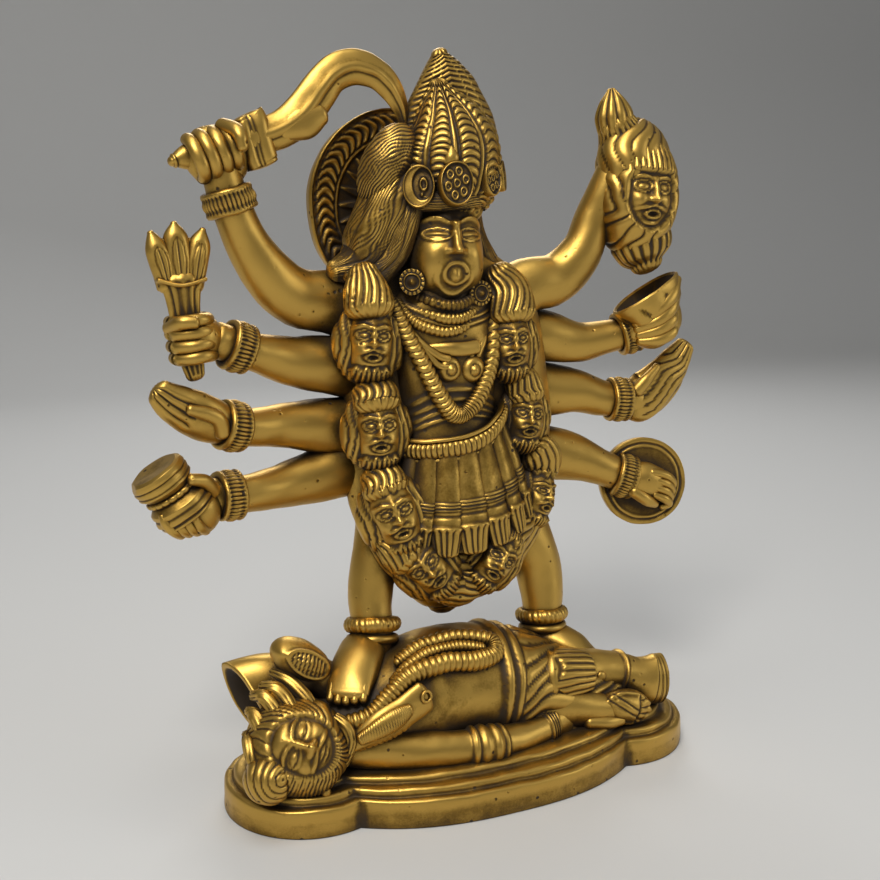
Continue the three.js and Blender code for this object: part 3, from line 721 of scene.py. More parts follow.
top_knot = egg((-66.4, -16.4, 16.6), (6.4, 6.0, 6.6), (0, 0, -14), 96, 60, knot_lines, 0.05)
ear = egg(
    (-52.4, -18.8, 14.4),
    (1.9, 1.6, 3.2),
    (-20, 0, 0),
    26,
    20,
    lambda x,
    y,
    z: -1.0 * bump(x, z, 0, 0, 0.4, 0.5),
)
ear_drop = egg((-51.6, -19.2, 10.8), (1.5, 1.4, 2.2), (-10, 0, 0), 18, 14)


def lock(points, width, strands=4):
    """A lock of hair along the points, thin at its ends, its strands running with it."""
    share = np.linspace(0, 1, len(points))
    swell = width * (0.55 + 0.45 * np.sin(np.pi * share))
    rows = [(*p, w, 0.8 * w) for p, w in zip(points, swell)]
    return loft(
        rows,
        18,
        8 * strands,
        relief=lambda share, turn: 0.45 * ribs(strands * turn / np.pi + 0.4 * np.sin(4 * share)),
    )


loose_locks = [
    lock([(-64.5, -4, 37.5), (-61.5, -7, 37.4), (-58.8, -9.6, 34.6), (-57.6, -12, 32.4)], 3.6),
    lock([(-66.5, -3, 34.8), (-64.5, -7, 35.4), (-62.4, -10, 32.6), (-62.6, -12.6, 29.4)], 3.8),
    lock([(-68, -4, 31), (-67.4, -8, 31), (-66.4, -11.6, 27.8), (-66.8, -13.4, 24.4)], 3.8),
    lock([(-69.6, -7, 26), (-69.8, -11, 25.4), (-69.6, -14, 22), (-68.4, -15.4, 19)], 3.6),
    lock([(-60.5, -1, 39.8), (-57.4, -5, 38.2), (-53.6, -9, 34.4), (-51.8, -11.4, 31)], 3.4),
    lock([(-45.8, -10, 27), (-44.6, -14, 24.6), (-44.4, -17, 21), (-46.4, -18.4, 17.4)], 3.6),
    lock([(-47, -15, 30), (-44.8, -17, 27.6), (-43.8, -18.4, 24.4), (-44.6, -19, 21)], 2.8),
]


def palm_panel(x, y, z):
    """An oval sunk panel with a row of short ridges in it, and a smooth knob at the upper end."""
    u = 9.4 * x
    v = 5.6 * z + 0.4 * y
    inside = 1 - step(np.hypot((u - 1.4) / 6.2, (v - 0.6) / 2.9), 0.92, 1.02)
    near = step(-y, 0.0, 0.3)
    edge = 0.5 * rim(u, v, 1.4, 0.6, 6.6, 3.3, 0.08)
    ridges = 0.8 * inside * ribs(0.75 * u + 0.2 * v)
    knob = 0.8 * bump(u, v, -6.8, 0.2, 1.6, 1.8)
    return near * (edge - 0.9 * inside + ridges + knob)


raised_hand = egg((-52.3, -1.2, 42.0), (9.4, 6.2, 5.5), (32, 0, -6), 84, 60, palm_panel, 0.05, 0.4)
raised_arm = loft(
    [(-56, -1, 31, 10, 9), (-54, 0, 36.4, 11, 11), (-48, 0, 37.0, 11, 11), (-42, -2, 32, 9, 10)],
    16,
    28,
    grime_and_shade=0.35,
)
BOLSTER_HOLLOW = 9.0
BOLSTER_WALL = 2.4
BOLSTER_LEAN = -0.22
BOLSTER_TURN = 0.5
BOLSTER_MIDDLE_Y = 18.5
BOLSTER_MIDDLE_Z = 27.2


def open_bolster():
    """Oval loft whose open end is turned in over its wall into a hollow, and leaned and turned."""
    rows = [
        (-68.4, 11, 27.2, 26.2, 15),
        (-60, 10, 28.6, 25.4, 17),
        (-50, 8, 27.4, 24.6, 18),
        (-38, 6, 24, 22, 20),
    ]
    outer = loft(rows, 20, 52)[0][CAP_ROWS:]
    depth = np.concatenate([np.linspace(0, 0.12, 5), np.linspace(0.2, 1, 10)])[:, None, None]
    middle = outer[0].mean(0)
    shrink = 1 - (BOLSTER_WALL / 10) * np.minimum(1, depth * 8) - 0.3 * depth
    inner = middle + (outer[0][None] - middle) * shrink
    lip = np.array([0.9, 0, 0]) * np.sin(np.pi * np.minimum(depth * 8, 1))
    inner = inner + depth * np.array([BOLSTER_HOLLOW, -0.8, 0.6]) - lip
    points = np.concatenate([inner[::-1], outer])
    fade = 1 - step(points[..., 0], -66, -48)
    lean = BOLSTER_LEAN * (points[..., 2] - BOLSTER_MIDDLE_Z)
    turn = BOLSTER_TURN * (BOLSTER_MIDDLE_Y - points[..., 1])
    points[..., 0] += (lean + turn) * fade
    # The hollow's inner rows get grime 1.6: painted shade inside the hole.
    hollow = np.arange(len(points)) < len(inner) - 3
    return points, False, np.where(hollow, 1.6, 0.2)


def beads(count, height=0.7):
    """Round beads along a cord, count of them from end to end."""
    return lambda share, turn: height * ribs(count * share) - 0.45 * height


cord = loft(
    [
        (-46, -14, 26.6, 4.2, 4.2),
        (-38, -16.6, 29, 4.6, 4.4),
        (-32, -16.6, 33.5, 4.8, 4.4),
        (-25, -15.2, 37.8, 5.0, 4.6),
        (-14, -14.2, 39.2, 5.2, 4.8),
        (-4, -14.2, 38.2, 5.2, 4.8),
        (2.6, -12.8, 38.8, 4.8, 4.8),
        (2.6, -9.0, 42, 4, 4.4),
        (-7, -7.6, 43.8, 3.6, 4),
        (-18, -7.8, 42.8, 3.6, 4),
        (-26, -9, 39.6, 3.4, 3.6),
    ],
    440,
    14,
    relief=beads(56),
)
inner_cord = loft(
    [
        (-30, -14.6, 36.4, 2.6, 3),
        (-21, -11.6, 41, 2.8, 3),
        (-10, -10.6, 42.2, 2.8, 3),
        (-0.5, -11.6, 40.8, 2.6, 3),
    ],
    200,
    11,
    relief=beads(26, 0.5),
)
hood = loft(
    [
        (-42.6, -17, 22.5, 5, 4.6),
        (-36, -18.6, 26.3, 9, 5),
        (-28.6, -19.0, 29.4, 9.4, 4.8),
        (-22.4, -18.8, 32.6, 9.6, 4.4),
    ],
    90,
    34,
    relief=lambda share, turn: (
        0.5 * ribs(16 * share) * step(np.cos(turn), 0.6, 0.9) * (1 - step(share, 0.6, 0.7))
    ),
)
hood_flap = loft(
    [
        (-41.4, -19.4, 24.6, 3.4, 3),
        (-37, -20.8, 26.8, 5.4, 3.4),
        (-31.6, -21.4, 29.2, 5.8, 3.4),
        (-28, -21.0, 30.6, 3.4, 3),
    ],
    96,
    22,
    relief=lambda share, turn: 0.3 * ribs(24 * share + 0.8 * np.cos(turn)) * step(-np.sin(turn), 0.0, 0.4),
)


def oval(radius, wide, tall, points=10):
    """Closed oval profile of radius and height for a ring."""
    angle = np.linspace(0, 2 * np.pi, points, endpoint=False)
    return np.stack([radius + wide / 2 * np.cos(angle), tall / 2 * np.sin(angle)], -1)


def hoop(centre, axis, profile, relief=None, count=160, stretch=1.0, grime_and_shade=0.0):
    """Closed profile of radius and height turned about an axis; relief(height, turn) stands out in mm."""
    axis = np.asarray(axis, float) / np.linalg.norm(axis)
    first = np.cross((0, 1, 0) if abs(axis[1]) < 0.8 else (0, 0, 1), axis)
    first /= np.linalg.norm(first)
    second = np.cross(axis, first)
    turn = np.linspace(0, 2 * np.pi, count, endpoint=False)[:, None]
    reach = profile[None, :, 0] * np.ones_like(turn)
    lift = profile[None, :, 1] * np.ones_like(turn)
    if relief is not None:
        outside = step(profile[None, :, 0], profile[:, 0].mean() - 0.2, profile[:, 0].mean() + 0.4)
        reach = reach + relief(lift, turn) * outside
    ring = (np.cos(turn) * reach)[..., None] * first + (np.sin(turn) * reach * stretch)[..., None] * second
    return ring + lift[..., None] * axis + np.asarray(centre, float), True, grime_and_shade


hood_ring = hoop((-22.6, -21.2, 33.4), (0.18, -1, 0.12), oval(1.5, 0.9, 0.9), count=48)
cast(
    "reclining_figure",
    [lying_body, near_arm, *lying_fingers, near_leg, near_sole, near_toes, loincloth, far_leg, stud],
)
cast(
    "reclining_head",
    [lying_head, top_knot, ear, ear_drop, *loose_locks, raised_hand, raised_arm, open_bolster()],
)
cast("serpent_cord", [cord, inner_cord, hood, hood_flap, hood_ring])


# Legs of the standing figure.
# One foot on the reclining figure's shoulder and one on his thigh, each with a notched anklet.
right_leg = loft(
    [
        (-18, 13, 78, 24, 18),
        (-25.5, 9, 65, 14.5, 14),
        (-28, 7, 54, 12.8, 12.5),
        (-28, 5, 46, 12, 12),
        (-29, 4, 40, 12, 12),
        (-29.5, 4, 34, 11, 11),
    ],
    34,
    34,
    grime_and_shade=0.06,
)
left_leg = loft(
    [
        (18, 15, 76, 26, 18),
        (29, 12, 60, 16.5, 15),
        (31.5, 10, 49, 14, 13),
        (31, 8.5, 39, 12, 12),
        (31, 8, 30, 11, 12),
        (31, 7, 25, 10, 11),
    ],
    34,
    34,
    grime_and_shade=0.06,
)


def foot(rows):
    """A foot along the rows, with five toes fanned over its last stretch."""
    rows = np.array(rows, float)
    last = rows[-1]
    forward = rows[-1, :3] - rows[-2, :3]
    forward /= np.linalg.norm(forward)
    sideways = np.cross((0, 0, 1), forward)
    sideways /= np.linalg.norm(sideways)
    shells = [loft(rows, 26, 32, side=(0, 0, 1), ends=(0.6, 0.9))]
    for k in range(5):
        root = last[:3] + sideways * (last[3] / 5.4) * (k - 2) - forward * 4.8 + (0, 0, 1.0)
        tip = root + forward * (7.4 - 0.6 * abs(k - 1.5)) - (0, 0, 1.5)
        width = last[3] / 4.6
        toe = [(*root, width, 3.4), (*(root + tip) / 2, width, 3.6), (*tip, width * 0.9, 2.8)]
        shells.append(loft(toe, 10, 12, side=(0, 0, 1)))
    return shells


def notches(height, turn):
    """Slanting notches round a ring."""
    return 0.45 * ribs(14 * turn / np.pi + 0.12 * height) - 0.2


feet = foot(
    [
        (-28, 8, 41, 11.4, 11),
        (-33, 1.4, 40.6, 13.6, 11),
        (-38, -5.4, 37.6, 14, 9.4),
        (-42, -11, 34, 12.4, 4.6),
    ],
)
feet += foot(
    [
        (30, 10, 33, 11.6, 11),
        (34, 5, 33, 12, 10),
        (38.6, 0.8, 31.2, 12, 8),
        (42, -2, 29.2, 10.4, 4.2),
    ],
)
anklets = [
    hoop((-28, 5.2, 47.0), (0.08, 0.2, 1), oval(6.4, 3.8, 4.4, 12), notches, 176),
    hoop((-28.4, 4.6, 43.0), (0.08, 0.2, 1), oval(6.1, 3.6, 3.0), None, 64),
    hoop((31.0, 8.8, 40.6), (0, 0.15, 1), oval(6.4, 3.8, 4.4, 12), notches, 176),
    hoop((31.1, 8.4, 36.8), (0, 0.15, 1), oval(6.0, 3.4, 2.8), None, 64),
]
cast("legs", [right_leg, left_leg, *feet, *anklets])


# Trunk.
# A thick back slab that carries the arms, and before it a bodiced chest with collar, long beaded necklace
# and beaded hip belt.
back_slab = loft(
    [
        (-2, 12, 48, 10, 8),
        (-2, 12, 52, 26, 14),
        (0, 13, 62, 50, 20),
        (1.5, 14, 80, 66, 20),
        (1.5, 14, 100, 68, 20),
        (0.5, 14, 120, 66, 20),
        (-0.5, 14, 136, 60, 20),
        (-2, 13, 145, 44, 18),
        (-4, 12, 151, 20, 15),
    ],
    44,
    56,
    grime_and_shade=0.25,
)


def bodice(share, turn):
    """Folds drawn round the waist in shallow arcs, and the edges of a low neckline."""
    x = np.cos(turn)
    front = step(-np.sin(turn), 0.15, 0.5)
    sag = share + 0.07 * x**2
    folds = sum(line(sag - at, 0.008) for at in (0.425, 0.455, 0.485, 0.52))
    neck = sum(line(share - 0.10 * x**2 - at, 0.008) for at in (0.745, 0.775))
    return front * (0.6 * folds + 0.7 * neck)


chest = loft(
    [
        (-2, 8, 68, 36, 18),
        (-2, 6.5, 86, 37, 22),
        (-3, 6.5, 98, 31, 21),
        (-3.5, 7, 108, 29, 19),
        (-3.5, 7, 120, 32, 19),
        (-4, 7.5, 131, 34, 18.6),
        (-4, 8, 140, 32, 17.4),
        (-4, 8, 150, 16, 15),
    ],
    156,
    70,
    relief=bodice,
    grime_and_shade=0.12,
    gather=0.5,
)


def rings(x, y, z):
    """A small boss inside a raised ring, facing forward."""
    return 0.6 * bump(x, z, 0, 0, 0.2, 0.2) - 0.3 * rim(x, z, 0, 0, 0.45, 0.45, 0.25)


breasts = [egg((x, -1.0, z), (3.9, 3.4, 4.2), relief=rings) for x, z in ((-6.6, 121.4), (0.6, 121.0))]
breast_panel = loft(
    [
        (-13, 0.4, 127.4, 3.0, 2.4),
        (-6, -2.6, 127.0, 4.2, 2.4),
        (2, -2.2, 127.4, 4.2, 2.4),
    ],
    24,
    22,
)
BELT_CENTRE = np.array([-3, 6.5, 100.2])
BELT_AXIS = (-0.13, -0.06, 1)
BELT_SQUASH = 0.72
belt = hoop(
    BELT_CENTRE,
    BELT_AXIS,
    oval(16.6, 3.6, 4.6, 13),
    lambda height, turn: 0.8 * ribs(33 * turn / np.pi) - 0.4,
    count=462,
    stretch=BELT_SQUASH,
)
belt_edges = [
    hoop(BELT_CENTRE + lift * np.array(BELT_AXIS), BELT_AXIS, oval(16.4, 2.2, 1.3), None, 110, BELT_SQUASH)
    for lift in (-2.9, 2.9)
]
# The belt climbs towards the viewer's right.
for points, _, _ in (belt, *belt_edges):
    points[..., 2] += 0.019 * np.maximum(points[..., 0] + 3, 0) ** 2
necklace = loft(
    [
        (-22.5, 5, 141, 4.2, 4),
        (-20.7, 2.6, 137, 4.4, 4),
        (-17.2, 0.0, 128.4, 4.6, 4),
        (-12.6, -2.6, 118.6, 4.8, 4.2),
        (-8.2, -3.8, 110.6, 5.0, 4.2),
        (-4.6, -4.0, 108.2, 4.8, 4.2),
        (-1.2, -3.8, 109.6, 4.8, 4.2),
        (3.0, -3.2, 114.6, 4.6, 4),
        (6.8, -1.6, 122.5, 4.4, 4),
        (9.6, 2.2, 135, 4.2, 4),
        (10.4, 5, 140, 4.2, 4),
    ],
    430,
    17,
    relief=lambda share, turn: 0.75 * ribs(54 * share + 0.6 * np.cos(turn) ** 2) - 0.5,
)
collar = loft(
    [
        (-19.5, 5.5, 140.5, 2.6, 2.6),
        (-17.6, 2.6, 136.8, 2.8, 2.6),
        (-14.2, 0.2, 133.9, 2.8, 2.6),
        (-8.2, -1.6, 132.0, 2.8, 2.6),
        (-1.6, -0.6, 133.4, 2.8, 2.6),
        (3.0, 2.2, 136.6, 2.8, 2.6),
        (5.4, 5.5, 140.5, 2.6, 2.6),
    ],
    230,
    11,
    relief=lambda share, turn: 0.5 * ribs(30 * share) - 0.2,
)
# The upper cord, just under the chin, gets grime 0.7: painted shade there.
neck_cords = [
    loft(
        [
            (-15, 2.6, height, 2, 2),
            (-8, -1.6, height - 2.4, 2.6, 2.2),
            (-1, -1.2, height - 1.8, 2.6, 2.2),
            (5, 3.4, height + 1, 2, 2),
        ],
        132,
        11,
        relief=lambda share, turn: 0.5 * ribs(17 * share) - 0.2,
        grime_and_shade=dirt_and_shade,
    )
    for height, dirt_and_shade in ((138.2, 0.1), (142.0, 0.7))
]
neckline = [
    loft(
        [
            (-20.5, 4.6, 138.4, 2, 1.8),
            (-15.4, 0.0, 130, 2.2, 1.8),
            (-10.8, -2.2, 125.6 - drop, 2.2, 1.8),
            (-7.4, -3.4, 124.4 - drop, 2, 1.6),
        ],
        28,
        12,
    )
    for drop in (0.0, 2.4)
]
neckline += [
    loft(
        [
            (8.6, 4.2, 139, 2, 1.8),
            (5.6 - shift, 0.6, 130, 2.2, 1.8),
            (2.4 - shift, -1.8, 124.8, 2, 1.8),
        ],
        24,
        12,
    )
    for shift in (0.0, 2.2)
]
cast("trunk", [back_slab, chest, *breasts, breast_panel, belt, *belt_edges])
cast("necklaces", [necklace, collar, *neck_cords, *neckline])


# Skirt.
# Severed forearms hung side by side from the belt, hands down, with thin bangles and grooved fingers.
SKIRT_ARMS = 7


def hanging_arm(share, turn):
    """Thin bangles round the wrist, then a hand whose four fingers are parted by grooves."""
    outer = step(-np.sin(turn), 0.0, 0.4)
    bangles = sum(line(share - at, 0.008) for at in (0.50, 0.535, 0.57))
    wrist = -0.4 * line(share - 0.63, 0.02)
    knuckle = 0.7 * line(share - 0.76, 0.025)
    fingers = step(share, 0.74, 0.79) * (1.1 * ribs(2.1 * (np.cos(turn) * 1.1 + 1)) - 0.8)
    return outer * (0.55 * bangles + fingers + knuckle + wrist)


skirt_arms = []
for k in range(SKIRT_ARMS):
    spread = (k / (SKIRT_ARMS - 1)) * 2 - 1
    swing = np.radians(66 * spread)
    top = np.array(
        [-2.5 + 15.4 * np.sin(swing), 6.5 - 10.6 * np.cos(swing), 98 + 4 * spread + 2.6 * spread**2]
    )
    end = np.array(
        [-1 + 24 * np.sin(swing), 7 - 14.9 * np.cos(swing), 69.6 + 3.8 * spread**2 + 2.4 * spread]
    )
    narrow = 1.06 - 0.26 * abs(spread)
    rows = [
        (*(top + (end - top) * t), width * narrow, depth)
        for t, width, depth in (
            (0.0, 6.8, 4),
            (0.2, 8.2, 4.8),
            (0.4, 9.4, 5.2),
            (0.6, 9.4, 5.2),
            (0.8, 9.2, 5.0),
            (1.0, 7.4, 3.4),
        )
    ]
    outward = (-np.sin(swing), np.cos(swing), 0)
    skirt_arms.append(loft(rows, 92, 46, side=outward, relief=hanging_arm, grime_and_shade=0.2, gather=0.5))
cast("skirt", skirt_arms)


# Garland of severed heads.
# Eight bearded heads strung by their hair in a loop from shoulder to shoulder; each has a fringe, large
# ringed eyes, and hair hanging behind it.
def trophy_face(x, y, z):
    """Cap of strands ending in a scalloped fringe, ringed eyes, brows, nose, moustache, lips and beard."""
    u = 6.8 * x
    v = 11.0 * z
    front = step(-y, 0.0, 0.3)
    edge = 7.8 + 0.5 * np.cos(2.0 * u)
    cap = step(v, edge, edge + 0.5)
    strands = cap * (0.9 + 0.8 * ribs(0.95 * u * (1 + 0.03 * v)))
    eyes = sum(
        -1.1 * bump(u, v, s * 2.8, 2.7, 2.1, 1.6)
        + 1.2 * bump(u, v, s * 2.8, 2.5, 1.35, 0.85)
        + 0.6 * rim(u, v, s * 2.8, 2.5, 2.0, 1.3, 0.16)
        + 1.0 * bump(u, v + 0.25 * np.abs(u - s * 2.8), s * 2.9, 5.0, 2.3, 0.6)
        + 0.7 * bump(u, v, s * 3.2, -1.4, 1.8, 1.9)
        for s in (-1, 1)
    )
    nose = 1.4 * bump(u, v, 0, 2.2, 0.8, 2.6) + 1.7 * bump(u, v, 0, 0.0, 1.4, 0.9)
    moustache = sum(1.0 * bump(u, v + 0.3 * np.abs(u), s * 1.7, -1.4, 1.6, 0.5) for s in (-1, 1))
    lips = 1.0 * rim(u, v, 0, -3.7, 1.9, 0.95, 0.3) - 0.9 * bump(u, v, 0, -3.7, 1.2, 0.4)
    chin = 0.7 * bump(u, v, 0, -5.6, 1.9, 0.6)
    hem = -6.5 - 0.3 * np.cos(2.4 * u)
    beard = step(-v, -hem, -hem + 0.5) * (0.6 + 1.0 * ribs(0.85 * u))
    jaw = -0.6 * step(np.abs(u), 5.2, 6.4) * step(-v, -4.0, 2.0)
    return front * (eyes + nose + moustache + lips + chin + jaw) * (1 - cap) + strands + beard


def mane(x, y, z):
    """Strands that hang down behind the face and wave a little."""
    return 1.0 * ribs(5.2 * x * (1 + 0.12 * z) + 0.3 * np.sin(4.5 * z + 2 * y) + 0.5) - 0.35


def trophy_head(centre, size, tilt, turn):
    """The egg of the face, before a wider and flatter egg of hanging hair."""
    angles = (tilt, 0, turn)
    behind = spun(np.array([(0.0, 2.6, -0.4)]) * size, angles, np.array(centre, float))[0]
    face = egg(centre, (6.8 * size, 5.8 * size, 11 * size), angles, 56, 82, trophy_face, 0.12, 0.5)
    return [face, egg(behind, (10.3 * size, 4.9 * size, 12.0 * size), angles, 64, 32, mane, 0.2, 0.4)]


garland = []
for head in (
    ((-28.8, 2.4, 129.4), 0.98, 3, -12),
    ((-27.6, 1.0, 104.6), 0.96, -2, -12),
    ((-23.8, -2.6, 80.4), 1.02, -18, -12),
    ((-14.6, -3.6, 64.6), 0.94, -42, -10),
    ((7.6, -2.8, 63.8), 0.90, 36, -8),
    ((25.6, 3.0, 80.5), 0.80, 16, 16),
    ((20.0, 2.0, 104.8), 0.86, 6, -6),
    ((14.4, 1.4, 127.2), 0.94, -2, -10),
):
    garland += trophy_head(*head)
cast("garland_upper", garland[:4] + garland[12:])
cast("garland_lower", garland[4:12])


def bunch(rows, count, wave=0.35, steps=24, around=66, grime_and_shade=0.05):
    """A thick lock of hair whose strands run along it and weave a little."""
    return loft(
        rows,
        steps,
        around,
        relief=lambda share, turn: 1.0 * ribs(count * turn / (2 * np.pi) + wave * np.sin(4 * share)) - 0.5,
        grime_and_shade=grime_and_shade,
        gather=0.3,
    )


hair_falls = [
    bunch([(-30.2, 4, 148, 8, 8), (-30, 2.2, 144, 12.4, 9), (-29.6, 0.8, 139.4, 13.4, 9.4)], 17),
    bunch([(-28.2, 2.4, 116, 11.6, 8), (-28.0, 0.8, 114.6, 12.6, 9), (-27.9, 0.0, 113, 12.8, 9.4)], 16),
    bunch([(-27.4, 1, 92, 11, 8), (-26.8, -0.6, 90.6, 12.4, 9), (-26.2, -1.6, 88.6, 13, 9.6)], 16),
    bunch([(-26, 0, 73.6, 7, 8), (-23.6, -1.8, 71.6, 11, 9), (-20.6, -2.8, 69.0, 12.6, 10)], 15, 0.5),
    bunch([(-8.6, 0.0, 58.0, 10, 10), (-3, 0.4, 56.2, 11, 11), (2, 0.0, 57.8, 10, 10)], 13, 0.8),
    bunch(
        [
            (-26, 4, 82, 12, 7),
            (-22.6, 2, 74, 15, 8),
            (-16, 1, 66, 17, 8.5),
            (-8, 1.4, 61.0, 17, 9),
            (-1, 2, 60.0, 17, 9),
            (6, 1.6, 61.5, 17, 9),
            (13.6, 1.8, 67.5, 16, 8.5),
            (20.4, 3, 75, 14, 8),
            (25.4, 5, 85, 11, 7),
        ],
        15,
        1.2,
        92,
        62,
        0.2,
    ),
    bunch([(11.6, -2.0, 68.0, 12, 10), (15, -0.4, 70.6, 11, 9), (19, 1.6, 73, 8, 8)], 14, 0.5),
    bunch([(28, 5, 88, 10, 8), (27.4, 4, 92, 12, 8.5), (24.4, 3.4, 95, 11, 8.5)], 13),
    bunch([(20.6, 1.4, 111.6, 10.6, 8), (20, 2.0, 113.6, 11.2, 8.5), (18.6, 2.6, 116.5, 10, 8.5)], 14),
    bunch([(12, 4.4, 147, 9, 9), (14.2, 2.4, 142.5, 13, 9), (14.8, 0.4, 136.6, 13.6, 9)], 17, 0.7),
]
cast("garland_hair", hair_falls)


# Head and crown of the standing figure.
# A long oval face with the tongue out, hair swept to the shoulders, ear discs, and a tall crown: a pointed
# back plate with ridged borders, and before it a ribbed tiara over a band of rosettes.
def goddess_face(x, y, z):
    """Arched brows, wide lidded eyes, nose, ringed open mouth with the tongue out, cheeks and chin."""
    u = 10.6 * x
    v = 14.6 * z
    front = step(-y, 0.0, 0.3)
    eyes = sum(
        -1.5 * bump(u, v, s * 4.4, 3.6, 3.5, 2.4)
        + 1.3 * bump(u, v, s * 4.6, 3.1, 2.7, 1.3)
        + 0.45 * rim(u, v, s * 4.6, 3.2, 3.5, 1.8, 0.10)
        - 0.5 * line(v - 2.6, 0.24) * bump(u, v, s * 4.6, 2.5, 2.8, 2)
        + 1.4 * line(v - 7.3 + 0.10 * (u - s * 4.8) ** 2, 0.6) * bump(u, v, s * 4.8, 6.6, 4.2, 3)
        + 1.3 * bump(u, v, s * 6.4, -3.2, 3.4, 3.8)
        for s in (-1, 1)
    )
    bridge = 1.9 * np.exp(-np.abs(u / 1.15) ** 3) * step(v, -2.4, -1.8) * (1 - step(v, 5.6, 7.8))
    nostrils = sum(0.9 * bump(u, v, s * 1.9, -1.5, 0.9, 0.8) for s in (-1, 1))
    nose = bridge + 1.7 * bump(u, v, 0, -1.2, 1.6, 1.1) + nostrils
    low = step(-v, 5.0, 9.0)
    mouth = 0.4 * low * rim(u, v, 0, -7.4, 4.4, 4.2, 0.12) + 0.55 * rim(u, v, 0.2, -7.0, 2.9, 2.6, 0.2)
    mouth = mouth - 0.7 * bump(u, v, 0, -6.6, 2.4, 2.3)
    tongue = 2.1 * bump(u, v, 0.2, -7.5, 1.5, 2.0)
    chin = 1.0 * bump(u, v, 0, -12.6, 4.0, 1.6)
    cheeks = sum(1.6 * bump(u, v, s * 6.2, -8.0, 3.6, 3.6) for s in (-1, 1))
    return front * (eyes + nose + mouth + tongue + chin + cheeks)


head = egg((-5.0, 6.6, 155.0), (11.2, 12.4, 15.2), (0, -3, -6), 120, 126, goddess_face, 0.0, 0.5)
neck = loft(
    [(-4, 8.5, 136, 15, 14), (-4.4, 7.4, 146, 13.5, 13)],
    40,
    32,
    relief=lambda s,
    t: 0.4 * ribs(5 * s),
)


def disc(centre, radius, thickness, axis, front, around=180, rings=60, grime_and_shade=0.0, stretch=1.0):
    """Round plate whose front, along the axis, rises by front(r, turn) mm, for r from 0 to 1."""
    axis = np.asarray(axis, float) / np.linalg.norm(axis)
    first = np.cross((0, 0, 1), axis)
    first /= np.linalg.norm(first)
    second = np.cross(axis, first) * stretch
    turn = np.linspace(0, 2 * np.pi, around, endpoint=False)[None, :]
    r = np.concatenate([np.linspace(0.02, 1, rings), [1.0, 0.99], np.linspace(0.9, 0.1, 4)])[:, None]
    face = np.arange(len(r))[:, None] < rings
    height = np.where(face, thickness / 2 + front(r, turn) * (r < 0.995), -thickness / 2)
    height[rings] = 0
    plane = np.cos(turn)[..., None] * first + np.sin(turn)[..., None] * second
    points = (r * radius)[..., None] * plane + height[..., None] * axis + np.asarray(centre, float)
    return points, False, grime_and_shade


def rosette(r, turn):
    """A raised rim round seven small ringed bosses."""
    height = 1.0 * line(r - 0.92, 0.06)
    x = r * np.cos(turn)
    z = r * np.sin(turn)
    spots = [(0.0, 0.0)] + [(0.54 * np.cos(a), 0.54 * np.sin(a)) for a in np.arange(6) * np.pi / 3 + 0.3]
    for x0, z0 in spots:
        height = height + 0.7 * rim(x, z, x0, z0, 0.17, 0.17, 0.4) + 0.3 * bump(x, z, x0, z0, 0.06, 0.06)
    return height


def crescent(r, turn):
    """A crescent moon, thick at the left: its hollow sunk, with a small ring and a dot in it."""
    x = r * np.cos(turn)
    z = r * np.sin(turn)
    inner = 1 - step(np.hypot((x - 0.25) / 0.62, (z - 0.1) / 0.74), 0.94, 1.06)
    eye = rim(x, z, 0.3, 0.1, 0.2, 0.26, 0.4) + bump(x, z, 0.2, -0.4, 0.1, 0.1)
    return 0.5 * line(r - 0.94, 0.05) - 1.3 * inner + 0.8 * eye


brow_band = [
    disc((-15.6, -1.4, 171.4), 4.4, 2.6, (-0.5, -1, 0.12), crescent, 72, 34, 0.0, 1.3),
    disc((-6.6, -5.0, 172.2), 4.9, 3.0, (-0.12, -1, 0.12), rosette, 84, 40, 0.0, 1.25),
    disc((5.0, -2.2, 174.2), 3.6, 2.6, (0.5, -1, 0.12), rosette, 60, 30, 0.1, 1.4),
    disc((10.8, 3.6, 175.4), 3.2, 2.6, (1, -0.7, 0.1), rosette, 52, 26, 0.2, 1.4),
]
bud = loft([(-7.4, -4.4, 178, 4.8, 3), (-7.4, -4.8, 179.6, 4.0, 3), (-7.4, -4.2, 181.6, 1.8, 2)], 12, 14)
brow_edge = loft(
    [
        (-18, 6, 168.4, 6, 5),
        (-13.4, 0.0, 167.8, 5, 5),
        (-5, -2.4, 168.0, 5, 5),
        (3.6, 1.0, 169.2, 5, 5),
        (7, 6, 170.5, 5, 5),
    ],
    50,
    72,
    relief=lambda share, turn: 0.6 * ribs(11 * turn / np.pi + 4 * share + 0.4 * np.sin(12 * share)) - 0.3,
    grime_and_shade=0.25,
)


def tiara_bands(share, turn):
    """Bands that close in towards the tip, crossed by stacked crescents, a plain strip between each two."""
    column = 5.5 * (turn - np.pi * 1.5) / np.pi + 0.32
    place = column - np.floor(column)
    band = ribs(column)
    wide = step(place, 0.0, 0.12) * (1 - step(place, 0.66, 0.78))
    arc = ((place - 0.39) / 0.39) ** 2
    crescents = ribs(18 * share + 0.75 * arc)
    plain = line(place - 0.88, 0.07)
    return 0.5 * band + wide * (1.1 * crescents - 0.1) + 0.7 * plain - 0.7


tiara = loft(
    [
        (-4, 8, 169, 23, 22),
        (-3.2, 8, 172, 27.6, 25.4),
        (-2.8, 7.6, 178, 30.0, 26.6),
        (-2.8, 7.4, 184, 28.6, 25.4),
        (-3.8, 7.2, 190, 22, 20.5),
        (-5.4, 6.6, 195.5, 12.5, 12.6),
        (-6.6, 5.6, 199.6, 4.0, 5),
    ],
    126,
    124,
    relief=tiara_bands,
    gather=0.5,
)


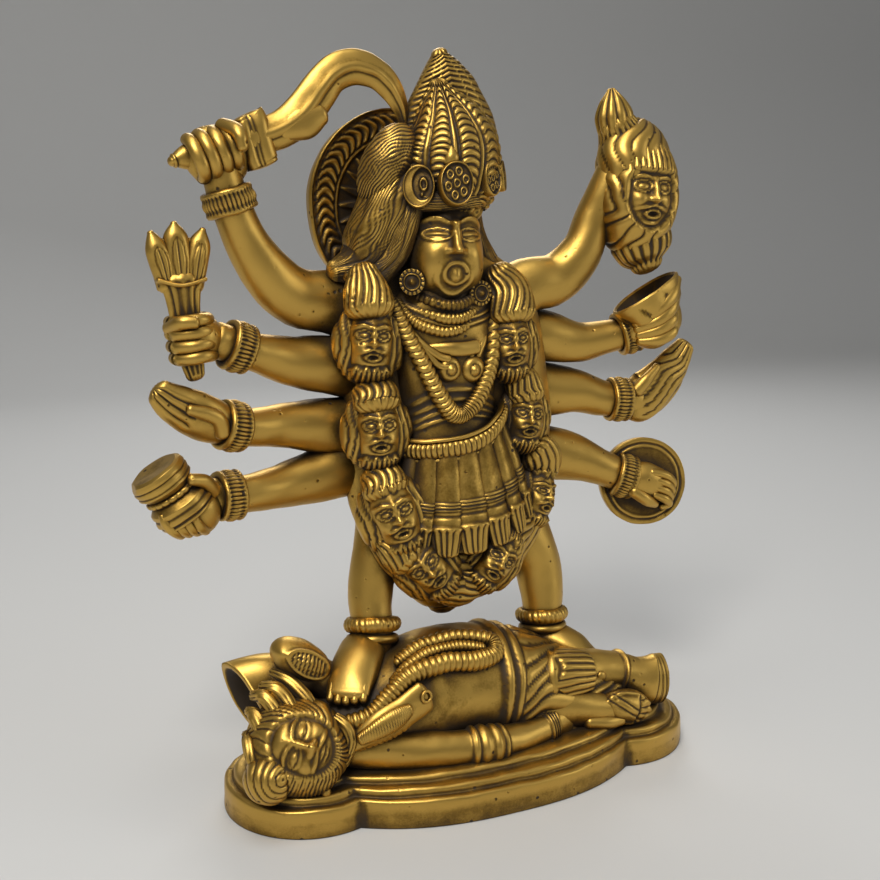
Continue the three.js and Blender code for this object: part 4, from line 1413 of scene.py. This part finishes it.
def plate_ridges(share, turn):
    """Two columns of stacked slanting ridges down either side, between plain lines."""
    x = np.abs(np.cos(turn))
    front = step(-np.sin(turn), -0.1, 0.1)
    slant = ribs(23 * share + 1.6 * x)
    lines = sum(line(x - at, 0.03) for at in (0.34, 0.66, 0.97))
    return front * (0.9 * slant * (1 - lines) + 0.8 * lines - 0.6)


plate = loft(
    [
        (-1.4, 11, 170, 25, 17),
        (-1.6, 11, 176, 31, 18),
        (-1.2, 11, 184, 32.0, 17),
        (-1.2, 11, 191, 28.2, 14),
        (-2.0, 11, 198.5, 21.0, 11),
        (-3.4, 10.4, 204.5, 12.6, 8.4),
        (-4.6, 9.6, 208.6, 4.4, 4.6),
    ],
    136,
    88,
    relief=plate_ridges,
    gather=0.4,
    ends=(0.5, 0.7),
    grime_and_shade=0.05,
)


def lobe_arcs(x, y, z):
    """Strands laid in arcs one outside another from the lower right corner."""
    distance = np.hypot(x - 0.9, 1.2 * (z + 0.6))
    return 0.6 * ribs(9.5 * distance + 0.22 * np.sin(9 * x) + 0.2 * np.sin(13 * z)) - 0.3


hair_lobe = egg((-21.6, 7.0, 177.6), (7.0, 7.0, 12.0), (28, 0, -20), 92, 76, lobe_arcs, 0.25, 0.4)


def swept(share, turn):
    """Fine strands along the lock, weaving a little, a few deeper partings among them."""
    warp = 0.9 * np.sin(9 * share + 3 * turn) + 0.6 * np.sin(17 * share - 5 * turn) + 0.6 * np.sin(3 * turn)
    fine = ribs(23 * turn / np.pi + warp) * (0.7 + 0.3 * np.sin(11 * turn + 6 * share))
    return 0.42 * fine + 0.6 * ribs(3 * turn / np.pi + 0.5 * np.sin(3 * share)) - 0.6


swept_hair = [
    loft(
        [
            (-15, 8, 176, 12, 15),
            (-19.5, 8.5, 170, 15, 17),
            (-22.5, 9, 163.4, 16, 17),
            (-25.5, 10, 156.5, 15.6, 15),
            (-29.5, 10.5, 151, 11.6, 12),
            (-36.0, 11, 148.8, 5.6, 7),
        ],
        38,
        176,
        relief=swept,
        grime_and_shade=0.25,
        gather=0.4,
    ),
    loft(
        [
            (-15.4, 3.4, 168, 6, 8),
            (-18.0, 4.0, 160, 8.4, 9),
            (-21.4, 5.4, 152.4, 8.6, 9),
            (-26.6, 6.4, 147.6, 6.8, 7.4),
            (-33.4, 8.0, 147.8, 3.2, 5),
        ],
        32,
        140,
        relief=swept,
        grime_and_shade=0.25,
        gather=0.4,
    ),
    loft(
        [
            (5, 14, 168, 8, 12),
            (7.5, 14, 158, 9, 11),
            (11, 13, 149, 11, 11),
            (17, 12, 143.4, 9, 9),
            (24, 12, 141.6, 5, 6),
        ],
        26,
        120,
        relief=swept,
        grime_and_shade=0.3,
        gather=0.3,
    ),
]
back_hair = loft(
    [
        (-7, 16, 188, 18, 9),
        (-7, 17, 178, 30, 14),
        (-8.5, 17, 168, 34, 16),
        (-9.5, 17, 158, 40, 16),
        (-9.5, 16, 149, 48, 16),
        (-8, 15, 141, 52, 16),
    ],
    26,
    140,
    relief=lambda share, turn: 0.7 * ribs(14 * turn / np.pi + 0.4 * np.sin(5 * share)) - 0.2,
    grime_and_shade=0.25,
)


def ear_stud(r, turn):
    """A domed boss in a ring with a ribbed border."""
    border = 0.5 * ribs(8 * turn / np.pi) * step(r, 0.72, 0.78)
    return 0.8 * line(r - 0.62, 0.08) + 1.4 * line(r, 0.3) + border - 0.3


ear_discs = [
    disc((x, y, z), 3.5, 3.4, axis, ear_stud, 64, 24, 0.3)
    for x, y, z, axis in ((-17.0, 1.0, 146.0, (-0.45, -1, 0)), (3.4, 0.6, 142.6, (0.1, -1, 0)))
]
cast("head", [head, neck, *ear_discs])
cast("crown_tiara", [tiara, bud, brow_edge])
cast("crown_plate", [plate, *brow_band])
cast("swept_hair", [*swept_hair, hair_lobe, back_hair])


# Halo.
# A round plate behind the head: plain rim, a border of deep crescents, a raised inner ring, then flutes.
# It was never rubbed, so it stays dark.
HALO_RADIUS = 28.0
HALO_THICKNESS = 4.4


def halo_front(r, turn):
    """Rim, border of leaning crescents, raised ring, triangular flutes and an inner ring, by radius."""
    border = step(r, 0.73, 0.75) * (1 - step(r, 0.94, 0.96))
    crescents = ribs(26 * turn / np.pi + 0.9 * np.sin(np.pi * (r - 0.74) / 0.2))
    wedge = np.abs(((12 * turn / np.pi) % 1) * 2 - 1)
    tapered = step(wedge, (r - 0.40) / 0.34, (r - 0.34) / 0.34)
    flutes = step(r, 0.44, 0.47) * (1 - step(r, 0.66, 0.69)) * tapered
    star = ribs(14 * turn / np.pi) * (1 - step(r, 0.34, 0.38))
    rings = sum(1.1 * line(r - at, 0.018) for at in (0.975, 0.71, 0.42))
    return -1.8 + 1.5 * border * crescents + rings + 0.9 * flutes + 0.6 * star


halo = disc((-11, 26.5, 167), HALO_RADIUS, HALO_THICKNESS, (0.1, -1, 0), halo_front, 364, 60, 0.08)
cast("halo", [halo], sharpness=6.0)


# Arms.
# Eight smooth arms in two fans, all but the one that holds the severed head with a wide ribbed bangle at
# the wrist, flared at both ends.
def bangle(rows, at, radius):
    """A cuff of fine upright ribs between two flared rims, round an arm at a share of its length."""
    here = between(rows, np.array([at]))[0, :3]
    ahead = between(rows, np.array([at + 0.04]))[0, :3] - between(rows, np.array([at - 0.04]))[0, :3]
    half = np.array(
        [(0.0, 3.1), (1.1, 3.4), (1.9, 3.1), (2.1, 2.5), (1.7, 1.9), (1.7, 1.4), (2.0, 0.5)]
    )
    profile = np.concatenate([half, half[::-1] * (1, -1)]) + (radius - 0.9, 0)

    def ribbed(height, turn):
        middle = step(height, -2.2, -1.9) * (1 - step(height, 1.9, 2.2))
        return middle * (0.8 * ribs(18 * turn / np.pi) - 0.5)

    return [hoop(here, ahead, profile, ribbed, 216)]


ARMS = {
    "sword": (
        [
            (-20, 17, 135, 22, 18),
            (-34, 16, 139.5, 18.5, 15),
            (-46, 15, 141.5, 16.5, 13.5),
            (-55, 13, 149, 14, 12.5),
            (-61, 12, 158, 11.8, 11),
            (-65, 11, 167, 10.6, 10.5),
            (-67, 11, 175, 10.5, 10),
        ],
        0.84,
    ),
    "trident": (
        [
            (-22, 18, 120, 18, 16),
            (-34, 16, 121.8, 17, 15),
            (-48, 14, 123.7, 14, 12),
            (-58, 12, 126.6, 11, 10.5),
            (-64, 11, 128.8, 10.5, 10),
            (-70, 10, 131, 10, 9.5),
        ],
        0.8,
    ),
    "open_right": (
        [
            (-22, 19, 103, 18, 16),
            (-34, 17, 104.3, 17, 15),
            (-50, 15.5, 105.6, 13, 12.5),
            (-60, 12.5, 106, 10.8, 10.5),
            (-66.5, 11, 107.2, 10.5, 10),
            (-71, 9.5, 108.7, 10, 8),
        ],
        0.8,
    ),
    "drum": (
        [
            (-22, 20, 93, 18, 16),
            (-34, 18, 91, 17, 15),
            (-48.4, 16, 88.7, 13.4, 12.5),
            (-60, 12.5, 87.7, 10.8, 10.5),
            (-68, 11, 87.8, 10.6, 10),
            (-75, 9.5, 88, 10.5, 9.5),
        ],
        0.8,
    ),
    "severed_head": (
        [
            (18, 18, 138, 22, 18),
            (28, 16, 143.6, 17, 15),
            (38, 15, 146, 15.6, 13.5),
            (45.5, 13, 154, 13.6, 12),
            (48.8, 12, 164, 11.5, 11),
            (51.5, 10, 173, 10, 10),
            (55, 9, 182, 9, 9),
        ],
        None,
    ),
    "bowl": (
        [
            (22, 20, 128.5, 18, 16),
            (34, 18, 128, 16.5, 14),
            (45.5, 16, 125.6, 13.3, 12),
            (53.5, 14, 126.5, 11, 10.5),
            (62.5, 12, 128.5, 10.5, 10),
            (68, 11, 130.5, 10, 9),
        ],
        0.8,
    ),
    "open_left": (
        [
            (22, 22, 112, 20, 16),
            (35, 20, 110.6, 18, 15),
            (46.5, 17, 109.8, 14, 12.5),
            (55, 14.5, 107.4, 11.5, 11),
            (60.5, 13, 106.8, 10.8, 10),
            (67, 12, 106.6, 10.8, 8.5),
        ],
        0.8,
    ),
    "disc": (
        [
            (22, 22, 92, 20, 16),
            (35, 20, 90.4, 18, 15),
            (45.5, 17, 88.6, 15.6, 13),
            (55, 14, 84.9, 11.7, 11),
            (63, 12, 81.6, 10.6, 10),
            (69, 10, 80.4, 10.6, 8.5),
        ],
        0.8,
    ),
}
ROOT_Y = 14
ROOT_DEPTH = 9
BANGLE_RADIUS = 5.9
arm_shells = []
bangle_shells = []
for rows, at in ARMS.values():
    x, _, z, width, _ = rows[0]
    root = (0.35 * x, ROOT_Y, z, 0.7 * width, ROOT_DEPTH)
    arm_shells.append(loft([root, *rows], 36, 32, ends=(0.3, 0.6)))
    if at is not None:
        bangle_shells += bangle(rows, at, BANGLE_RADIUS)
cast("arms", arm_shells)
cast("bangles", bangle_shells)


# Right hands and what they hold.
# A curved sword whose point rests on the crown, a short trident, an open palm, and an hourglass drum.
def fist(centre, grip, out, radius, width=3.4, spread=3.2, thumb=1.0, flat=1.0):
    """Four fingers curled round a shaft along grip, their front facing out and flattened, and a thumb."""
    centre = np.asarray(centre, float)
    grip = np.asarray(grip, float) / np.linalg.norm(grip)
    out = np.asarray(out, float) - np.dot(out, grip) * grip
    out /= np.linalg.norm(out)
    across = np.cross(grip, out)
    shells = []
    for k in range(4):
        base = centre + grip * spread * (k - 1.5)
        angle = np.radians(np.linspace(-80, 150, 6))
        reach = radius * (1.0 - 0.05 * abs(k - 1.2))
        path = base + reach * (flat * np.cos(angle)[:, None] * out + np.sin(angle)[:, None] * across)
        outward = np.cross(grip, path[3] - path[2])
        rows = [(*p, spread * 1.12, width) for p in path]
        shells.append(loft(rows, 20, 16, side=tuple(outward), grime_and_shade=0.05))
    thumb_rows = [
        (*(centre - across * radius * 0.9 + out * radius * 0.3 + grip * spread * thumb), 4.2, 4.0),
        (*(centre - across * radius * 0.2 + out * radius * 1.15 + grip * spread * (thumb + 0.5)), 3.8, 3.6),
        (*(centre + across * radius * 0.5 + out * radius * 1.15 + grip * spread * (thumb + 0.4)), 3.0, 2.8),
    ]
    shells.append(loft(thumb_rows, 16, 16, grime_and_shade=0.05))
    return shells


sword_hand = [
    egg((-68.0, 11.0, 178.6), (8.8, 5.0, 8.0), (20, 0, 0), 46, 34),
    *fist((-69.2, 9.6, 179.4), (0.94, 0, 0.34), (-0.1, -1, 0.3), 5.8, 3.0, 3.2, 1.5, 0.78),
]
hilt = loft(
    [
        (-79.6, 10.6, 177.0, 2.6, 3.6),
        (-74, 11, 178.8, 7.4, 5.4),
        (-60, 11, 183, 8.6, 7),
        (-55, 11, 184.6, 8.4, 6),
    ],
    40,
    28,
    relief=lambda share, turn: 0.5 * line(share - 0.04, 0.02) + 0.5 * line(share - 0.86, 0.02),
)
guard = loft(
    [
        (-59.6, 11, 189.2, 6.8, 5),
        (-58.8, 11, 187.4, 7.6, 6.2),
        (-56.4, 11, 179.0, 7.6, 6.2),
        (-55.6, 11, 177.0, 6.8, 5),
    ],
    28,
    44,
    relief=lambda share, turn: 1.3 * np.abs(np.sin(2 * turn)) - 0.8 * line(np.cos(turn) - 0.3, 0.12),
    ends=(0.3, 0.3),
)


def bevelled(share, turn):
    """A ridge along the middle of each face and thin edges."""
    x = np.cos(turn)
    return -1.0 * np.abs(x * np.sin(turn)) + 0.4 * line(x - 0.05, 0.16) - 0.3 * line(x - 0.45, 0.1)


blade = loft(
    [
        (-56, 10.5, 184.4, 9.4, 6),
        (-50.4, 10, 186.4, 9.6, 5.6),
        (-44.8, 9.5, 190.4, 10.6, 5.2),
        (-40.4, 9, 196, 10.4, 5),
        (-36.2, 9, 200.8, 9.8, 5),
        (-30.4, 9, 203.2, 9.7, 5),
        (-24, 9, 201.8, 8.6, 5),
        (-19.4, 9, 198, 7.2, 4.6),
        (-16.6, 9, 193.4, 5, 4),
        (-15.6, 9, 189.0, 2.2, 3),
    ],
    84,
    34,
    relief=bevelled,
)
hook = loft([(-50.5, 9.6, 186, 6, 4.4), (-44.6, 9.2, 188.4, 9.4, 5.2), (-39.8, 9, 190.6, 6, 4.4)], 16, 24)
trident_hand = [
    egg((-75.4, 9.6, 131.8), (7.0, 6.6, 7.0), (0, 0, 0), 44, 32),
    *fist((-76.8, 9.0, 131.8), (-0.1, 0, 1), (-0.4, -1, 0), 5.4),
]


def fluted(share, turn):
    """Three flutes up the front between plain ridges."""
    return 0.9 * ribs(2.5 * np.cos(turn) + 0.5) * step(-np.sin(turn), 0, 0.4) - 0.5


shaft = loft(
    [
        (-76.6, 8.4, 122.4, 5.4, 5),
        (-77.4, 8.4, 127, 7.0, 5.4),
        (-78.4, 8.6, 137, 8.2, 5.6),
        (-79.0, 8.6, 143.5, 10.2, 5.8),
        (-79.3, 8.6, 147.0, 13.0, 5.6),
    ],
    26,
    48,
    relief=fluted,
)
tine_web = loft(
    [
        (-79.2, 9.0, 145, 12.4, 3.6),
        (-79.4, 9.0, 151, 14.6, 3.6),
        (-79.6, 9.0, 156.6, 14.6, 3.0),
    ],
    14,
    24,
    grime_and_shade=0.3,
)
tine_collar = loft(
    [
        (-85.2, 8.4, 147.0, 1.6, 5.6),
        (-79.2, 7.9, 145.6, 1.6, 6.4),
        (-73.2, 8.4, 147.2, 1.6, 5.6),
    ],
    22,
    14,
)


def leaf_lines(share, turn):
    """An engraved leaf: a middle vein and a line inside the edge, fading out at the tip."""
    x = np.cos(turn)
    vein = line(x, 0.10) * (1 - step(share, 0.5, 0.7)) + 0.5 * rim(x, share, 0, 0.34, 0.5, 0.3, 0.14)
    return -0.45 * vein * step(-np.sin(turn), 0, 0.3)


tines = [
    loft(
        [
            (low, 8.6, 145.6, width * 0.96, 5),
            (middle, 8.4, 151.5, width * 1.16, 5.2),
            ((middle + tip) / 2, 8.5, top - 4.2, width * 1.06, 4.6),
            (tip, 8.6, top - 0.8, 1.8, 2.0),
        ],
        50,
        40,
        relief=leaf_lines,
        gather=0.3,
    )
    for low, middle, tip, top, width in (
        (-82.8, -84.2, -86.4, 159.6, 5.2),
        (-79.2, -79.8, -80.3, 162.0, 6.0),
        (-75.6, -75.0, -73.0, 160.4, 5.4),
    )
]


def palm_grooves(share, turn):
    """Three grooves that part the four fingers, from the knuckles to the tips, on both faces."""
    x = np.cos(turn)
    grooves = sum(line(x - at, 0.07) for at in (-0.48, 0.0, 0.48))
    return -0.95 * grooves * step(share, 0.46, 0.56)


open_right = [
    loft(
        [
            (-68.5, 10, 107.6, 11, 8.6),
            (-73, 9, 109.6, 13, 9),
            (-78, 8, 112.4, 12.6, 8),
            (-83, 7, 115.6, 10.6, 6.8),
            (-86.4, 6.2, 118.2, 7.6, 5),
        ],
        50,
        64,
        side=(0.3, 1, 0.1),
        relief=palm_grooves,
    ),
    loft(
        [
            (-70, 6.5, 106.5, 5, 4.6),
            (-71.6, 4.8, 110.6, 4.4, 4),
            (-75.6, 4, 112.6, 4, 3.6),
            (-79, 3.6, 113.6, 3, 2.8),
        ],
        18,
        18,
    ),
]


def turned(centre, profile, axis, around=72, relief=None, grime_and_shade=0.0):
    """Profile of radius and height turned about an axis, with more points near its corners."""
    axis = np.asarray(axis, float) / np.linalg.norm(axis)
    first = np.cross((0, 0, 1) if abs(axis[2]) < 0.9 else (0, 1, 0), axis)
    first /= np.linalg.norm(first)
    second = np.cross(axis, first)
    profile = np.asarray(profile, float)
    near = np.array([0, 0.06, 0.25, 0.5, 0.75, 0.94])[:, None]
    parts = [a + (b - a) * near for a, b in zip(profile[:-1], profile[1:])]
    profile = np.concatenate(parts + [profile[-1:]])
    turn = np.linspace(0, 2 * np.pi, around, endpoint=False)[None, :]
    r = profile[:, :1] * np.ones_like(turn)
    h = profile[:, 1:] * np.ones_like(turn)
    if relief is not None:
        r = r + relief(h, turn) * step(profile[:, :1], 0.5, 2.0)
    points = (r * np.cos(turn))[..., None] * first + (r * np.sin(turn))[..., None] * second
    return points + h[..., None] * axis + np.asarray(centre, float), False, grime_and_shade


def drum_lines(height, turn):
    """Two turned grooves round each head of the drum."""
    return -0.5 * sum(line(height - at, 0.35) for at in (-6.6, -4.6, 3.4, 5.0))


DRUM_CENTRE = (-84.4, 6.6, 91.6)
DRUM_AXIS = (-0.55, 0, 0.83)
drum = turned(
    DRUM_CENTRE,
    [
        (0.4, -7.6),
        (7.0, -8.0),
        (8.0, -7.6),
        (8.6, -6),
        (8.2, -2.8),
        (6.4, -1.0),
        (5.8, -0.2),
        (6.4, 0.6),
        (8.0, 2.4),
        (8.2, 5.2),
        (7.6, 7.0),
        (6.6, 7.5),
        (0.4, 7.2),
    ],
    DRUM_AXIS,
    64,
    drum_lines,
)
drum_cord = hoop(
    DRUM_CENTRE,
    DRUM_AXIS,
    oval(6.3, 2.0, 1.8),
    lambda height,
    turn: 0.4 * ribs(10 * turn / np.pi) - 0.2,
    120,
)
drum_hand = [
    egg((-77.4, 8.8, 85.6), (7.0, 7.0, 7.4), (0, 0, 0), 44, 32),
    *[
        loft(
            [
                (-76.0 - 2.2 * k, 5.0, 80.6 - 0.1 * k, 3.0, 3.6),
                (-78.0 - 2.3 * k, 2.6, 82.4 - 0.2 * k, 3.0, 3.6),
                (-80.0 - 2.3 * k, 2.0, 85.6 - 0.5 * k, 2.8, 3.2),
                (-81.4 - 2.1 * k, 2.4, 88.0 - 0.6 * k, 2.0, 2.4),
            ],
            18,
            16,
        )
        for k in range(4)
    ],
    loft([(-73.4, 5.6, 91, 4.6, 4.4), (-76.4, 2.6, 94.4, 4.2, 3.8), (-80, 1.0, 95.6, 3.2, 3)], 16, 16),
]
cast("sword", [hilt, guard, blade, hook])
cast("trident", [shaft, tine_collar, tine_web, *tines])
cast("right_hands", [*sword_hand, *trident_hand, *open_right, *drum_hand])
cast("drum", [drum, drum_cord])


# Left hands and what they hold.
# A severed head hung by its knotted hair, a leaf-shaped cup, an open palm, and a disc under curled fingers.
def severed_face(x, y, z):
    """Face of ringed eyes, brows, nose, moustache and mouth in an oval, a fringe and curls round it."""
    u = 12.2 * x
    v = 17.4 * z
    front = step(-y, 0.0, 0.25)
    oval_face = (1 - step(np.hypot(u / 8.6, (v - 0.2) / 10.4), 0.92, 1.0)) * (1 - step(v, 6.2, 6.8))
    inside = oval_face * step(-y, -0.05, 0.15)
    eyes = sum(
        -1.3 * bump(u, v, s * 3.9, 2.8, 2.8, 2.1)
        + 1.5 * bump(u, v, s * 4.0, 2.5, 1.9, 1.25)
        + 0.6 * rim(u, v, s * 4.0, 2.5, 2.7, 1.7, 0.12)
        + 1.1 * bump(u, v + 0.2 * np.abs(u - s * 4), s * 4.1, 5.4, 3.0, 0.6)
        + 1.0 * bump(u, v, s * 4.6, -1.6, 2.2, 2.4)
        for s in (-1, 1)
    )
    nose = 1.9 * bump(u, v, 0, 1.2, 1.0, 3.2) + 2.1 * bump(u, v, 0, -1.2, 1.8, 1.1)
    moustache = sum(1.2 * bump(u, v + 0.25 * np.abs(u), s * 2.4, -3.0, 2.3, 0.6) for s in (-1, 1))
    lips = 1.1 * rim(u, v, 0, -5.6, 2.3, 1.1, 0.3) - 0.9 * bump(u, v, 0, -5.6, 1.5, 0.4)
    chin = 1.0 * bump(u, v, 0, -8.2, 2.4, 0.9)
    fringe_hair = ribs(0.55 * u * (1 + 0.01 * v))
    swirl = ribs(0.34 * np.abs(u) + 0.45 * np.sin(0.45 * v + 0.3 * u) + 0.15 * np.sin(0.9 * v))
    upper = step(v, 5.6, 7.2)
    hair = (1 - inside) * (0.9 + 1.1 * (upper * fringe_hair + (1 - upper) * swirl))
    return front * inside * (eyes + nose + moustache + lips + chin) + hair


def upright_strands(count):
    """Straight strands, count of them round the lock."""
    return lambda share, turn: 0.9 * ribs(count * turn / (2 * np.pi)) - 0.4


def cap_strands(x, y, z):
    """Strands that run down the skull from the knot, weaving a little."""
    return 0.75 * ribs(8 * np.arctan2(y, x - 0.3) / np.pi + 0.4 * np.sin(5 * z)) - 0.3


severed = [
    egg((62.2, 8.6, 170.8), (12.0, 9.6, 17.6), (4, 0, 2), 104, 124, severed_face, 0.0, 0.5),
    egg((61.6, 9.8, 180.4), (12.8, 9.6, 13.2), (6, 0, 12), 92, 42, cap_strands, 0.1),
    loft(
        [
            (63, 9, 161, 17, 13),
            (64.5, 8.4, 156.5, 20, 15),
            (65.6, 8, 152.4, 16.6, 12),
            (66.2, 7.6, 150.2, 10, 8),
        ],
        36,
        92,
        relief=upright_strands(18),
        grime_and_shade=0.3,
    ),
    loft(
        [
            (58.8, 9.6, 183, 19, 15),
            (56.6, 9.8, 188.4, 14.6, 11.6),
            (54.6, 9.4, 191.6, 11.4, 10),
        ],
        20,
        96,
        relief=upright_strands(22),
    ),
    loft(
        [
            (54.4, 9.4, 190.4, 10.6, 9),
            (53.8, 9.2, 194.4, 11.2, 9),
            (53.0, 9, 198.6, 7.0, 6.4),
            (52.4, 9, 201.6, 1.8, 2.0),
        ],
        26,
        50,
        relief=upright_strands(10),
    ),
]
holding_fingers = [
    loft(
        [
            (50.0 + 0.5 * k, 8.4, 172.4 + 2.2 * k, 2.4, 3),
            (52.0 + 0.5 * k, 5.0, 172.8 + 2.2 * k, 2.2, 3),
            (54.4 + 0.5 * k, 3.4, 173.2 + 2.2 * k, 1.8, 2.2),
        ],
        12,
        14,
    )
    for k in range(4)
]
CUP_RADIUS = 12.8
CUP_WALL = 1.4
CUP_HOLLOW = 6.0
CUP_SQUASH = 0.66
CUP_CENTRE = (66.6, 7.6, 140.4)


def leaf_cup():
    """A bowl squashed front to back, creased outside like a folded leaf, with its hollow turned in."""
    r = CUP_RADIUS
    inner = r - CUP_WALL
    profile = np.array(
        [
            (0.6, -0.92 * r),
            (0.30 * r, -0.90 * r),
            (0.60 * r, -0.74 * r),
            (0.84 * r, -0.44 * r),
            (0.97 * r, -0.08 * r),
            (r, 0.08 * r),
            (0.95 * r, 0.12 * r),
            (inner, 0.08 * r),
            (0.86 * inner, 0.1 * r - 0.5 * CUP_HOLLOW),
            (0.5 * inner, 0.1 * r - 0.92 * CUP_HOLLOW),
            (0.6, 0.1 * r - CUP_HOLLOW),
        ]
    )

    def creases(height, turn):
        groove = 1 - ribs(4 * turn / np.pi + 0.05 * height)
        return -0.9 * groove * (1 - step(height, -1.0, 1.2)) * step(-height, -1.2, 4.0)

    points = turned((0, 0, 0), profile, (0, 0, 1), 96, creases, 0.0)[0]
    points[..., 1] *= CUP_SQUASH
    # Each stretch of the profile has six points, and the inside starts after its seventh stretch.
    inside = np.arange(len(points)) > 7 * 6
    # The inside of the cup is painted darker than the outside, 0.7 against 0.05.
    return spun(points, (-30, -8, 0), CUP_CENTRE), False, np.where(inside, 0.7, 0.05)


cup = leaf_cup()
cup_hand = [
    loft(
        [
            (63, 9, 129, 9, 10),
            (68, 6, 129.4, 12, 9),
            (72.4, 5.4, 133.0, 12, 8),
            (74.0, 6.4, 138.2, 8, 6),
        ],
        24,
        32,
    ),
    *[
        loft(
            [
                (61.0 + 0.6 * k, 5.4, 132.0 - 1.9 * k, 3.4, 3.8),
                (66.4 + 0.6 * k, 1.6 + 0.3 * k, 136.0 - 3.1 * k, 4.2, 3.8),
                (71.6 + 0.5 * k, 1.4 + 0.4 * k, 140.4 - 3.7 * k, 4.2, 3.4),
                (75.8 - 0.5 * k, 4.4 + 0.3 * k, 145.4 - 4.2 * k, 2.8, 2.4),
            ],
            22,
            18,
        )
        for k in range(4)
    ],
]


def palm_lines(share, turn):
    """Grooves that slant across the palm from the wrist and run up the fingers, on the near face."""
    x = np.cos(turn)
    slant = 1 - ribs(2.4 * x + 2.6 * share * (1 - step(share, 0.5, 0.8)))
    return -0.9 * slant * step(share, 0.12, 0.2) * step(-np.sin(turn), 0.0, 0.3)


open_left = [
    loft(
        [
            (63.5, 12.4, 106.2, 12.6, 8),
            (69.4, 11.6, 107.6, 17.2, 8.4),
            (75.8, 10.8, 112.6, 15.6, 7.6),
            (80.4, 10, 118.6, 12.4, 6.2),
            (83.6, 9.2, 123.4, 8.4, 4),
        ],
        54,
        66,
        side=(-0.2, 1, 0),
        relief=palm_lines,
    ),
    loft([(64.6, 8.6, 110, 4.6, 4), (67.6, 7.6, 113.6, 4, 3.6), (71.4, 7.6, 117.4, 2.8, 2.6)], 16, 16),
]


def chakra(r, turn):
    """A plain raised rim, a shallow groove inside it and a flat middle."""
    rims = 0.25 * line(r - 0.95, 0.04) + 0.2 * line(r - 0.82, 0.03)
    return -0.3 + rims - 0.25 * line(r - 0.88, 0.02) + 0.25 * (1 - r)


disc_plate = disc((70.5, 12.6, 79.3), 14.2, 4.5, (-0.3, -1, 0.08), chakra, 140, 44, 0.05)
disc_hand = [
    loft([(63.0, 9.8, 80.8, 10.6, 9), (68, 7.8, 80.4, 12.0, 8.0), (73, 7.0, 79.4, 10, 6.6)], 20, 30),
    *[
        loft(
            [
                (69.4 + 0.4 * k, 6.0, 83.4 - 2.5 * k, 3.0, 4.0),
                (74.4 - 0.1 * k, 4.8, 82.0 - 2.5 * k, 3.0, 3.8),
                (78.0 - 0.5 * k, 5.6, 79.0 - 2.2 * k, 2.8, 3.2),
                (77.0 - 0.8 * k, 6.8, 75.8 - 1.5 * k, 2.2, 2.4),
            ],
            20,
            16,
        )
        for k in range(4)
    ],
    loft([(63.4, 6.8, 77.4, 4.2, 4.2), (67.0, 5.4, 74.8, 4.0, 3.8), (71.6, 6.2, 72.6, 3.0, 2.8)], 16, 16),
]
cast("severed_head", [*severed, *holding_fingers])
cast("cup", [cup])
cast("left_hands", [*cup_hand, *open_left, *disc_hand])
cast("disc", [disc_plate])

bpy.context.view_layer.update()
